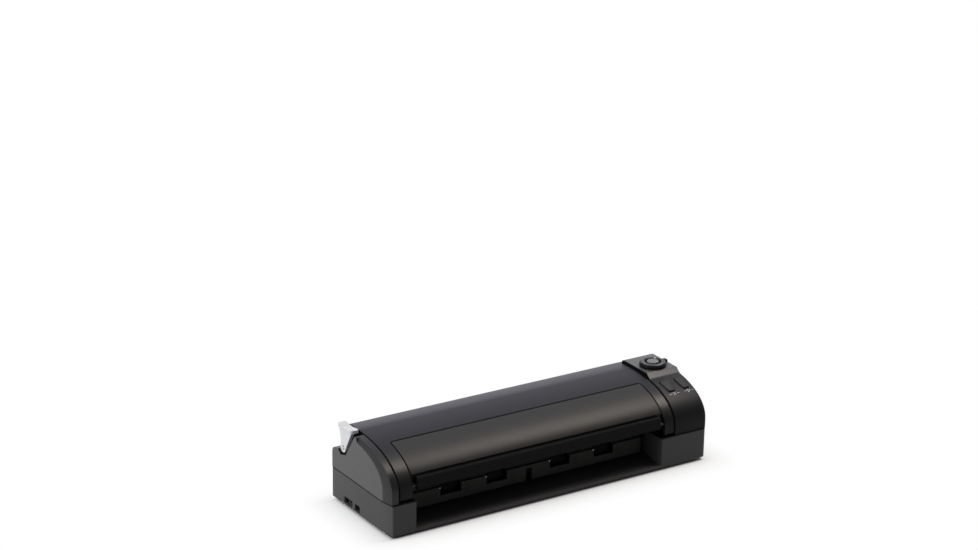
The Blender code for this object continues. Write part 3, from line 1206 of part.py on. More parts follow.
def main():
    """Clears the scene and builds every piece."""
    for old in list(bpy.data.objects):
        bpy.data.objects.remove(old)
    build_lower_housing()
    build_bottom()
    build_left_end_cap()
    build_lever()
    build_cover()
    build_flap()
    build_platen()
    build_upper_guide()
    build_rollers()
    build_sensors()
    build_drive()
    build_boards()
    build_head()
    build_controls()
    build_flag()


main()
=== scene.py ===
"""Looks for a sheet fed document scanner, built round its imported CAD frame.

The CAD nodes keep their shapes and get procedural finishes. Small trim that the solids leave out, such as
printed marks, screw heads, guide ribs and port contacts, is worked out here as numpy surfaces, and so is
the turned shell of the dial.
"""

from __future__ import annotations

import json
import logging
import math
from dataclasses import dataclass, field
from enum import Enum

import bmesh
import bpy
import numpy as np
from mathutils import Matrix, Vector

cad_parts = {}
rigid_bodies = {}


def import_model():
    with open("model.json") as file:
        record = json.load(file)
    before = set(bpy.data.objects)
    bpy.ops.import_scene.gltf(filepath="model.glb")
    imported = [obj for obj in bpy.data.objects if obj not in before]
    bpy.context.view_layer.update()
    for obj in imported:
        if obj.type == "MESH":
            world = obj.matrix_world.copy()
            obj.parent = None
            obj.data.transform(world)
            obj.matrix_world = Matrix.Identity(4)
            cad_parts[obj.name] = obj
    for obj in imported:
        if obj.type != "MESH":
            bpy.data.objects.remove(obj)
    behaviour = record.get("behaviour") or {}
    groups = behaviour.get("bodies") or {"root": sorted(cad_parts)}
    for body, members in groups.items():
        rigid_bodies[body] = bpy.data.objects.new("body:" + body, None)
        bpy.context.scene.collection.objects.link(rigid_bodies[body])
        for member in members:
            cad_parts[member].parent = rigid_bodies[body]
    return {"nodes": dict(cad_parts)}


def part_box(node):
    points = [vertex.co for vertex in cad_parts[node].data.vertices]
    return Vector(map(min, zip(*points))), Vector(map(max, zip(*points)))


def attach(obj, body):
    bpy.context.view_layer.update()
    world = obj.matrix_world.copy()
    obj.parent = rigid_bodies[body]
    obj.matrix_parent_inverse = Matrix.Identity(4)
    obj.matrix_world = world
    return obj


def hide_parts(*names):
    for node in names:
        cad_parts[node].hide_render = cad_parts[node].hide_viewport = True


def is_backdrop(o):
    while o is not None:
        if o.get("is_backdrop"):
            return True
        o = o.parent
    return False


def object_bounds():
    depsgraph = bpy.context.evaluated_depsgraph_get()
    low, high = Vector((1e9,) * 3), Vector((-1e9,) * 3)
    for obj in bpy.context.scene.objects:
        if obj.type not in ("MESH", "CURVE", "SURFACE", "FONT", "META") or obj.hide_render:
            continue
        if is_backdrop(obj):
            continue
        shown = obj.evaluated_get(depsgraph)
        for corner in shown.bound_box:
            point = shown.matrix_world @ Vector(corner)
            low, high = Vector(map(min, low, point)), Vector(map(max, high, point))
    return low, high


log = logging.getLogger("scanner_scene")
Array = np.ndarray
Socket = bpy.types.NodeSocket
Outputs = bpy.types.NodeOutputs
Colour = tuple[float, float, float]
Place = tuple[float, float, float]
Grid = tuple[Array, bool]
MM = 0.001
WELD = 1e-7
WHITE: Colour = (1.0, 1.0, 1.0)


class Pattern(Enum):
    """How the surface of a finish is broken up."""

    MOULDED = "moulded"
    BRUSHED = "brushed"


class Axis(Enum):
    """Axis of the scanner that a finish changes along."""

    X = "X"
    Y = "Y"
    Z = "Z"


@dataclass(frozen=True)
class Zone:
    """A second tone of a moulding, faded in between two places along an axis, in metres; most zones here
    are painted light or shade.
    """

    axis: Axis
    start: float
    end: float
    colour: Colour
    roughness: float
    coat: float = 1.0


@dataclass(frozen=True)
class Lacquer:
    """A clear satin coat whose weight falls towards the foot of a moulding, between two heights in metres;
    the fall is painted shade, so lower faces reflect less.
    """

    weight: float
    roughness: float
    low_weight: float = 0.0
    start: float = 0.040
    end: float = 0.050


@dataclass(frozen=True)
class Roll:
    """A gentle roll of a top face towards its rear edge, between two places along Y, in metres."""

    start: float
    end: float
    radius: float


@dataclass(frozen=True)
class Finish:
    """One finish of the scanner: colour, gloss and the scale of its surface pattern."""

    name: str
    colour: Colour
    roughness: float
    pattern: Pattern = Pattern.MOULDED
    metallic: float = 0.0
    specular: float = 0.5
    grain_size: float = 0.0005
    grain_depth: float = 0.000012
    tone_spread: float = 0.08
    edge_radius: float = 0.0005
    # Share of the paler edge colour: wear, and a painted edge highlight.
    edge_wear_and_highlight: float = 0.25
    transmission: float = 0.0
    glow: float = 0.0
    zones: tuple[Zone, ...] = ()
    lacquer: Lacquer | None = None
    roll: Roll | None = None


METAL = {"pattern": Pattern.BRUSHED, "metallic": 1.0}
# Colour, roughness and coat of the painted shade beside gaps.
GAP_SHADE = {"colour": (0.0015, 0.0015, 0.0015), "roughness": 0.7, "coat": 0.05}


def gap_shade_line(axis: Axis, edge: float, inward: float, width: float = 0.0008) -> Zone:
    """Painted shade: a dark border of a moulding beside a gap, after the edge where inward is 1 and before
    it for -1.
    """
    return Zone(axis, edge + inward * width, edge + inward * width * 0.5, **GAP_SHADE)


class Finishes:
    """The finishes of this scanner, named for where they are used."""

    CROWN = Finish(
        "crown_black", (0.0190, 0.0190, 0.0250), 0.34, specular=0.05, grain_size=0.0011,
        grain_depth=0.00002, tone_spread=0.15, edge_radius=0.0008,
        zones=(
            # Painted light: the bluish top stands for the bluish light it reflects; this front slope turns
            # neutral, with a thicker coat for a warm highlight.
            Zone(Axis.Z, 0.0600, 0.0540, (0.0150, 0.0142, 0.0135), 0.42, 2.3),
            # Painted shade: darker and less coated below this height.
            Zone(Axis.Z, 0.0495, 0.0425, (0.0130, 0.0125, 0.0120), 0.45, 0.3),
            # Painted highlight: a paler, more coated band along the rear of the top.
            Zone(Axis.Y, 0.0170, 0.0290, (0.0200, 0.0200, 0.0265), 0.34, 3.6),
            gap_shade_line(Axis.X, -0.1355, 1.0),
            gap_shade_line(Axis.X, 0.1123, -1.0),
        ),
        # The coat falls below 50 mm: painted shade on the lower rims.
        lacquer=Lacquer(0.19, 0.33),
        roll=Roll(0.0165, 0.0318, 0.041),
    )
    FLAP = Finish(
        "flap_black", (0.0130, 0.0120, 0.0112), 0.45, specular=0.05, grain_size=0.0011, grain_depth=0.00003,
        tone_spread=0.2, edge_radius=0.0006,
        zones=(
            gap_shade_line(Axis.X, -0.1238, 1.0),
            gap_shade_line(Axis.X, 0.1028, -1.0),
            gap_shade_line(Axis.Y, -0.0078, -1.0, 0.0012),
        ),
        # The coat falls from 49.5 mm to 42.5 mm: painted shade along the lower edge.
        lacquer=Lacquer(0.44, 0.42, 0.08, 0.0425, 0.0495),
    )
    CHEEK = Finish(
        "cheek_grey", (0.085, 0.085, 0.086), 0.5, specular=0.25, edge_radius=0.0007,
        zones=(
            Zone(Axis.X, -0.1439, -0.1436, (0.0110, 0.0110, 0.0120), 0.32),
            gap_shade_line(Axis.X, -0.1361, -1.0),
        ),
    )
    HEAD = Finish(
        "head_black", (0.0110, 0.0110, 0.0120), 0.40, specular=0.05, edge_radius=0.0008,
        zones=(
            # Painted highlight: the ramp and plateau above this height are paler and more coated, for the
            # light they catch.
            Zone(Axis.Z, 0.0616, 0.0620, (0.078, 0.078, 0.080), 0.45, 2.0),
            gap_shade_line(Axis.X, 0.1129, 1.0, 0.0012),
        ),
        # The coat falls from 53 mm to 42 mm: painted shade on the lower front.
        lacquer=Lacquer(0.36, 0.45, 0.06, 0.042, 0.053),
    )
    BASE = Finish(
        "base_grey", (0.059, 0.058, 0.057), 0.52, specular=0.18, grain_size=0.0007, edge_radius=0.0006,
        zones=(gap_shade_line(Axis.Z, 0.0270, -1.0),),
    )
    PLATE = Finish("plate_dark", (0.026, 0.026, 0.026), 0.6, specular=0.3, grain_size=0.0008)
    BAR = Finish("bar_black", (0.0036, 0.0036, 0.0036), 0.34, specular=0.05, grain_depth=0.000006)
    GUIDE = Finish("guide_black", (0.0270, 0.0270, 0.0250), 0.55, specular=0.1, edge_radius=0.0004)
    FLOOR = Finish(
        "feed_floor_dark", (0.050, 0.049, 0.047), 0.5, specular=0.15, edge_radius=0.0004,
        # Painted shade: darker towards the rear, under the cover and the bar.
        zones=(Zone(Axis.Y, -0.041, -0.018, (0.0020, 0.0020, 0.0020), 0.6),),
    )
    KEY = Finish(
        "key_black", (0.0140, 0.0140, 0.0150), 0.4, specular=0.05, edge_radius=0.0003,
        lacquer=Lacquer(0.45, 0.4),
    )
    DIAL = Finish(
        "dial_black", (0.0080, 0.0080, 0.0085), 0.3, specular=0.05, edge_radius=0.0003,
        # Painted highlight: the rim's top face is paler than the rest.
        zones=(Zone(Axis.Z, 0.0690, 0.0693, (0.058, 0.058, 0.060), 0.3),),
        # Coat only on the top: painted shade on the wall, which reflects little.
        lacquer=Lacquer(0.95, 0.2, 0.03, 0.0688, 0.0694),
    )
    DIAL_CAP = Finish(
        "dial_cap_dark", (0.090, 0.090, 0.091), 0.28, specular=0.2, edge_radius=0.0003,
        lacquer=Lacquer(0.6, 0.25),
    )
    LEVER = Finish("lever_silver", (0.64, 0.645, 0.66), 0.36, grain_depth=0.000006, tone_spread=0.04)
    RUBBER = Finish("roller_rubber", (0.0060, 0.0060, 0.0060), 0.82, specular=0.1)
    STEEL = Finish("ground_steel", (0.56, 0.56, 0.57), 0.3, **METAL, edge_radius=0.0002)
    BRASS = Finish("turned_brass", (0.60, 0.44, 0.19), 0.32, **METAL, edge_radius=0.0002)
    NYLON = Finish("moulded_nylon", (0.70, 0.69, 0.65), 0.5, edge_radius=0.0002, grain_depth=0.000006)
    BOARD = Finish("lacquered_board", (0.020, 0.095, 0.040), 0.38, edge_radius=0.0002)
    GLASS = Finish("sensor_glass", (0.72, 0.78, 0.77), 0.06, transmission=0.85, edge_wear_and_highlight=0.0)
    LAMP = Finish("lamp_lens", (0.80, 0.82, 0.84), 0.18, edge_wear_and_highlight=0.0, glow=0.35)
    INNER_BLACK = Finish("inner_black", (0.012, 0.012, 0.012), 0.45, specular=0.35, edge_radius=0.0002)
    PRINTED = Finish("white_print", (0.66, 0.66, 0.65), 0.55, specular=0.3, edge_wear_and_highlight=0.0)
    GOLD = Finish("contact_gold", (0.80, 0.58, 0.22), 0.25, **METAL, edge_radius=0.0001)


NODE_FINISHES: dict[str, Finish] = {
    "top_cover": Finishes.CROWN,
    "front_flap": Finishes.FLAP,
    "left_end_cap": Finishes.CHEEK,
    "control_head": Finishes.HEAD,
    "lower_housing": Finishes.BASE,
    "bottom_plate": Finishes.PLATE,
    "flap_bar": Finishes.BAR,
    "upper_paper_guide": Finishes.GUIDE,
    "lower_paper_guide": Finishes.FLOOR,
    "cancel_key": Finishes.KEY,
    "scan_key": Finishes.KEY,
    "selector_dial": Finishes.DIAL,
    "dial_cap": Finishes.DIAL_CAP,
    "release_lever": Finishes.LEVER,
    "status_lamp": Finishes.LAMP,
    "usb_socket": Finishes.STEEL,
    "motor_pinion": Finishes.BRASS,
    "rear_pinch_roller": Finishes.NYLON,
    "flap_pin_left": Finishes.INNER_BLACK,
    "flap_pin_right": Finishes.INNER_BLACK,
}
STEM_FINISHES: dict[tuple[str, ...], Finish] = {
    ("foot", "roller"): Finishes.RUBBER,
    ("glass",): Finishes.GLASS,
    ("bush", "gear"): Finishes.NYLON,
    ("board",): Finishes.BOARD,
    ("shaft", "axle", "pin_", "lever_pin", "spring", "motor"): Finishes.STEEL,
}


def opaque(colour: Colour | list[float]) -> tuple[float, ...]:
    """A colour with full alpha."""
    return (*colour, 1.0)


class Wiring:
    """Shorthand for the nodes of one tree: each is added together with its constants and links."""

    def __init__(self, tree: bpy.types.NodeTree) -> None:
        """Keeps the tree that is wired."""
        self.tree = tree

    def put(self, node: bpy.types.Node, values: dict[str | int, object]) -> None:
        """Fills inputs of a node.

        Args:
            node: The node.
            values: For each input, by name or number, a constant or the output socket that feeds it.
        """
        for entry, value in values.items():
            if isinstance(value, Socket):
                self.tree.links.new(value, node.inputs[entry])
            else:
                node.inputs[entry].default_value = value

    def add(self, kind: str, values: dict[str | int, object] | None = None, **settings: object) -> Outputs:
        """A new node.

        Args:
            kind: Blender's name of the node type.
            values: Its inputs, as for put.
            settings: Its properties, which are set before its inputs.

        Returns:
            The outputs of the node.
        """
        node = self.tree.nodes.new(kind)
        for name, value in settings.items():
            setattr(node, name, value)
        self.put(node, values or {})
        return node.outputs

    def math(self, operation: str, *terms: object) -> Socket:
        """Result of a Math node on terms that are constants or sockets."""
        return self.add("ShaderNodeMath", dict(enumerate(terms)), operation=operation)[0]

    def vector(self, operation: str, *terms: object) -> Outputs:
        """Outputs of a Vector Math node on terms that are constants or sockets."""
        return self.add("ShaderNodeVectorMath", dict(enumerate(terms)), operation=operation)

    def noise(self, place: Socket, scale: object, detail: float) -> Socket:
        """Level of a Noise Texture node at a place, for a scale that is a constant or a socket."""
        return self.add("ShaderNodeTexNoise", {"Vector": place, "Scale": scale, "Detail": detail})["Fac"]

    def ramp(
        self, value: Socket, start: float, end: float, low: float = 0.0, high: float = 1.0, **settings: str
    ) -> Socket:
        """Result of a Map Range node that takes the start to the low and the end to the high level."""
        levels = {"Value": value, "From Min": start, "From Max": end, "To Min": low, "To Max": high}
        return self.add("ShaderNodeMapRange", levels, **settings)["Result"]

    def mix(self, factor: Socket, first: object, second: object, data_type: str = "FLOAT") -> Socket:
        """Result of a Mix node of values or, as RGBA, of colours: the first at 0 and the second at 1."""
        values = {"Factor": factor, "A": first, "B": second}
        return self.add("ShaderNodeMix", values, data_type=data_type)["Result"]


class GroupShop:
    """Builds the shader node groups that the finishes share, once each.

    DRIFT, SPOTS and METAL_DRIFT are the scale and the detail of a noise.
    """

    SURFACE_IN = {"Coords": "NodeSocketVector", "Scale": "NodeSocketFloat"}
    SURFACE_OUT = {"Height": "NodeSocketFloat", "Tone": "NodeSocketFloat", "Gloss": "NodeSocketFloat"}
    EDGE_IN = {"Radius": "NodeSocketFloat"}
    EDGE_OUT = {"Normal": "NodeSocketVector", "Mask": "NodeSocketFloat"}
    PIT_SMOOTHNESS = 0.6
    FINE_RATIO = 2.3
    FINE_SHARE = 0.6
    FINE_DETAIL = 3.0
    DRIFT = (38.0, 4.0)
    SPOTS = (210.0, 2.0)
    SPOT_SHARE = 0.5
    LINE_STRETCH = (0.01, 1.0, 1.0)
    LINE_DETAIL = 4.0
    METAL_DRIFT = (90.0, 2.0)
    EDGE_SAMPLES = 6
    EDGE_TURN = (0.995, 0.85)

    def __init__(self) -> None:
        """Makes the three groups."""
        self.grain = self._grain()
        self.brush = self._brush()
        self.edge = self._edge()

    @staticmethod
    def _new(name: str, inputs: dict[str, str], outputs: dict[str, str]) -> tuple[Wiring, Outputs]:
        """An empty group with named sockets.

        Args:
            name: Name of the group.
            inputs: Socket type of each input, by name.
            outputs: Socket type of each output, by name.

        Returns:
            The wiring of the group and what its inputs give.
        """
        tree = bpy.data.node_groups.new(name, "ShaderNodeTree")
        for way, sockets in (("INPUT", inputs), ("OUTPUT", outputs)):
            for label, kind in sockets.items():
                tree.interface.new_socket(label, in_out=way, socket_type=kind)
        wires = Wiring(tree)
        return wires, wires.add("NodeGroupInput")

    def _grain(self) -> bpy.types.NodeTree:
        """Spark eroded mould texture: cells for the pits, fine noise on them and slow drift in tone.

        Returns:
            A group from coordinates and scale to a height, a slow tone and a gloss change.
        """
        wires, given = self._new("scanner_grain", self.SURFACE_IN, self.SURFACE_OUT)
        place, scale = given["Coords"], given["Scale"]
        pits = {"Vector": place, "Scale": scale, "Smoothness": self.PIT_SMOOTHNESS}
        cells = wires.add("ShaderNodeTexVoronoi", pits, feature="SMOOTH_F1")["Distance"]
        fine = wires.noise(place, wires.math("MULTIPLY", scale, self.FINE_RATIO), self.FINE_DETAIL)
        slow = wires.noise(place, *self.DRIFT)
        spots = wires.noise(place, *self.SPOTS)
        height = wires.math("MULTIPLY_ADD", fine, self.FINE_SHARE, cells)
        gloss = wires.math("MULTIPLY_ADD", spots, self.SPOT_SHARE, slow)
        wires.add("NodeGroupOutput", {"Height": height, "Tone": slow, "Gloss": gloss})
        return wires.tree

    def _brush(self) -> bpy.types.NodeTree:
        """Grinding lines: noise stretched a hundredfold along X, with a slow drift in tone.

        Returns:
            A group from coordinates and scale to a height, a tone and a gloss change.
        """
        wires, given = self._new("scanner_brush", self.SURFACE_IN, self.SURFACE_OUT)
        stretch = {"Vector": given["Coords"], "Scale": self.LINE_STRETCH}
        place = wires.add("ShaderNodeMapping", stretch)["Vector"]
        lines = wires.noise(place, given["Scale"], self.LINE_DETAIL)
        slow = wires.noise(given["Coords"], *self.METAL_DRIFT)
        wires.add("NodeGroupOutput", {"Height": lines, "Tone": slow, "Gloss": lines})
        return wires.tree

    def _edge(self) -> bpy.types.NodeTree:
        """Soft moulded edges: the normal averaged within a radius, and a mask of where it turns.

        Returns:
            A group from a radius to a rounded normal and an edge mask from 0 to 1.
        """
        wires, given = self._new("scanner_soft_edge", self.EDGE_IN, self.EDGE_OUT)
        radius = {"Radius": given["Radius"]}
        rounded = wires.add("ShaderNodeBevel", radius, samples=self.EDGE_SAMPLES)["Normal"]
        plain = wires.add("ShaderNodeNewGeometry")["Normal"]
        turn = wires.vector("DOT_PRODUCT", rounded, plain)["Value"]
        wires.add("NodeGroupOutput", {"Normal": rounded, "Mask": wires.ramp(turn, *self.EDGE_TURN)})
        return wires.tree


class Coating:
    """Puts together the node material of one finish."""

    GLOSS_FROM = (0.45, 1.05)
    GLOSS_SWING = 0.05
    LEAST_ROUGHNESS = 0.02
    GRAIN_STRENGTH = 0.5
    # Least level of the paler edges: wear, and a painted edge highlight.
    WORN_AND_LIT_EDGE_LEVEL = 0.06

    def __init__(self, finish: Finish, groups: GroupShop) -> None:
        """Starts a Principled material with the finish's pattern and edge.

        Args:
            finish: The finish.
            groups: The shared groups.
        """
        self.finish = finish
        self.material = bpy.data.materials.new(finish.name)
        self.material.use_nodes = True
        self.wires = Wiring(self.material.node_tree)
        place = self.wires.add("ShaderNodeTexCoord")["Object"]
        self.place = self.wires.add("ShaderNodeSeparateXYZ", {0: place})
        pattern = groups.brush if finish.pattern is Pattern.BRUSHED else groups.grain
        grain = {"Coords": place, "Scale": 1.0 / finish.grain_size}
        self.surface = self.wires.add("ShaderNodeGroup", grain, node_tree=pattern)
        rounding = {"Radius": finish.edge_radius}
        self.edge = self.wires.add("ShaderNodeGroup", rounding, node_tree=groups.edge)

    def build(self) -> bpy.types.Material:
        """Adds tone, gloss, zones, coat and grain.

        Returns:
            The material.
        """
        finish = self.finish
        colour, gloss, masks = self._tint(), self._gloss(), []
        # Zones: painted light and shade, and one two-tone rim.
        for zone in finish.zones:
            mask = self._along(zone.axis, zone.start, zone.end)
            colour = self.wires.mix(mask, colour, opaque(zone.colour), "RGBA")
            gloss = self.wires.mix(mask, gloss, zone.roughness)
            masks.append(mask)
        inputs = {
            "Base Color": colour,
            "Roughness": gloss,
            "Metallic": finish.metallic,
            "Specular IOR Level": finish.specular,
            "Transmission Weight": finish.transmission,
            "Emission Color": opaque(finish.colour),
            "Emission Strength": finish.glow,
            "Normal": self._normal(),
        }
        if finish.lacquer:
            inputs["Coat Weight"] = self._coat(finish.lacquer, masks)
            inputs["Coat Roughness"] = finish.lacquer.roughness
        self.wires.put(self.wires.tree.nodes["Principled BSDF"], inputs)
        return self.material

    def _along(self, axis: Axis, start: float, end: float, low: float = 0.0, high: float = 1.0) -> Socket:
        """A value that goes from a low to a high level between two places along an axis, in metres."""
        return self.wires.ramp(self.place[axis.value], start, end, low, high)

    def _tint(self) -> Socket:
        """Base colour: the finish drifts slowly between two tones and is paler along its edges, partly as
        wear and partly as a painted highlight.

        Returns:
            The colour.
        """
        finish = self.finish
        low = [channel * (1.0 - finish.tone_spread) for channel in finish.colour]
        high = [channel * (1.0 + finish.tone_spread) for channel in finish.colour]
        # Paler edges: wear, and a painted highlight along the edges.
        worn_and_lit = [max(channel, self.WORN_AND_LIT_EDGE_LEVEL) for channel in finish.colour]
        drift = self.wires.mix(self.surface["Tone"], opaque(low), opaque(high), "RGBA")
        amount = self.wires.math("MULTIPLY", self.edge["Mask"], finish.edge_wear_and_highlight)
        return self.wires.mix(amount, drift, opaque(worn_and_lit), "RGBA")

    def _gloss(self) -> Socket:
        """Roughness: the pattern swings it a little to both sides of the finish's own.

        Returns:
            The roughness.
        """
        low = max(self.finish.roughness - self.GLOSS_SWING, self.LEAST_ROUGHNESS)
        high = min(self.finish.roughness + self.GLOSS_SWING, 1.0)
        return self.wires.ramp(self.surface["Gloss"], *self.GLOSS_FROM, low, high)

    def _coat(self, lacquer: Lacquer, masks: list[Socket]) -> Socket:
        """Weight of the clear coat, which falls with height as painted shade on lower faces, and changes
        within the zones.

        Args:
            lacquer: The coat.
            masks: Masks of the zones.

        Returns:
            The weight.
        """
        # Less coat low down: painted shade on the lower faces.
        weight = self._along(Axis.Z, lacquer.start, lacquer.end, lacquer.low_weight, lacquer.weight)
        for zone, mask in zip(self.finish.zones, masks):
            weight = self.wires.mix(mask, weight, lacquer.weight * zone.coat)
        return weight

    def _normal(self) -> Socket:
        """Normal with soft edges and grain; a rolled face drops to its rear by reach^2 / (2 * radius).

        Returns:
            The normal.
        """
        normal = self.edge["Normal"]
        roll = self.finish.roll
        if roll:
            reach = self._along(Axis.Y, roll.start, roll.end, 0.0, roll.end - roll.start)
            drop = self.wires.math("MULTIPLY", reach, reach)
            tilt = {"Distance": 0.5 / roll.radius, "Height": drop, "Normal": normal}
            normal = self.wires.add("ShaderNodeBump", tilt, invert=True)["Normal"]
        grain = {"Strength": self.GRAIN_STRENGTH, "Distance": self.finish.grain_depth}
        grain |= {"Height": self.surface["Height"], "Normal": normal}
        return self.wires.add("ShaderNodeBump", grain)["Normal"]


class MaterialShop:
    """Keeps the materials of the finishes, one for each."""

    def __init__(self, groups: GroupShop) -> None:
        """Keeps the shared groups."""
        self.groups = groups
        self.made: dict[str, bpy.types.Material] = {}

    def get(self, finish: Finish) -> bpy.types.Material:
        """The material of a finish, built the first time it is asked for.

        Args:
            finish: The finish.

        Returns:
            Its material.
        """
        if finish.name not in self.made:
            self.made[finish.name] = Coating(finish, self.groups).build()
        return self.made[finish.name]


def grid_quads(rows: int, cols: int, wrap: bool = False) -> Array:
    """Corner numbers of the quads between neighbouring points of a grid.

    Args:
        rows: Number of points along the first parameter.
        cols: Number of points along the second parameter.
        wrap: True where the last column joins the first.

    Returns:
        Array of shape (quads, 4).
    """
    across = cols if wrap else cols - 1
    row, col = np.meshgrid(np.arange(rows - 1), np.arange(across), indexing="ij")
    near = row * cols
    far = near + cols
    after = (col + 1) % cols
    return np.stack([near + col, near + after, far + after, far + col], -1).reshape(-1, 4)


def surface_object(name: str, grids: list[Grid]) -> bpy.types.Object:
    """One mesh object from point grids in millimetres of the CAD frame, welded at seams and poles.

    Args:
        name: Name of the piece.
        grids: Point arrays of shape (rows, cols, 3) and whether their columns wrap.

    Returns:
        The object, at the origin, shaded smooth.
    """
    points, faces, count = [], [], 0
    for grid, wrap in grids:
        rows, cols = grid.shape[:2]
        points.append(grid.reshape(-1, 3) * MM)
        faces.append(grid_quads(rows, cols, wrap) + count)
        count += rows * cols
    mesh = bpy.data.meshes.new(name)
    mesh.from_pydata(np.concatenate(points).tolist(), [], np.concatenate(faces).tolist())
    welded = bmesh.new()
    welded.from_mesh(mesh)
    bmesh.ops.remove_doubles(welded, verts=welded.verts, dist=WELD)
    welded.to_mesh(mesh)
    welded.free()
    mesh.shade_smooth()
    made = bpy.data.objects.new(name, mesh)
    bpy.context.scene.collection.objects.link(made)
    return made


def node_box(node: str) -> tuple[Array, Array]:
    """Lowest and highest corner of a CAD node in millimetres."""
    low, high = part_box(node)
    return np.array(low) / MM, np.array(high) / MM


def wheel(radii: Array, count: int) -> tuple[Array, Array]:
    """Rings about an axis: each radius times the cosine and times the sine of equal steps of a turn."""
    turn = np.linspace(0.0, 2 * math.pi, count, endpoint=False)[None, :]
    return radii[:, None] * np.cos(turn), radii[:, None] * np.sin(turn)


def squircle(count: int) -> tuple[Array, Array]:
    """The superellipse |a|^4 + |b|^4 = 1: signed square roots of the cosine and the sine of a turn."""
    first, second = (np.sign(wave) * np.sqrt(np.abs(wave)) for wave in wheel(np.ones(1), count))
    return first, second


def pillow(count: int) -> tuple[Array, Array, Array]:
    """Square grid with a low pillow over it, for raised print.

    Args:
        count: Points along each side.

    Returns:
        First and second parameter from -1 to 1, and the height (1 - u^8)(1 - v^8), which is 0 at the rim.
    """
    line = np.sin(np.linspace(-math.pi / 2, math.pi / 2, count))
    first, second = np.meshgrid(line, line, indexing="ij")
    return first, second, (1 - first**8) * (1 - second**8)


@dataclass(frozen=True)
class Softbox:
    """A rectangular lamp: place and size in metres, power in watts and tint."""

    name: str
    place: Place
    width: float
    height: float
    power: float
    colour: Colour


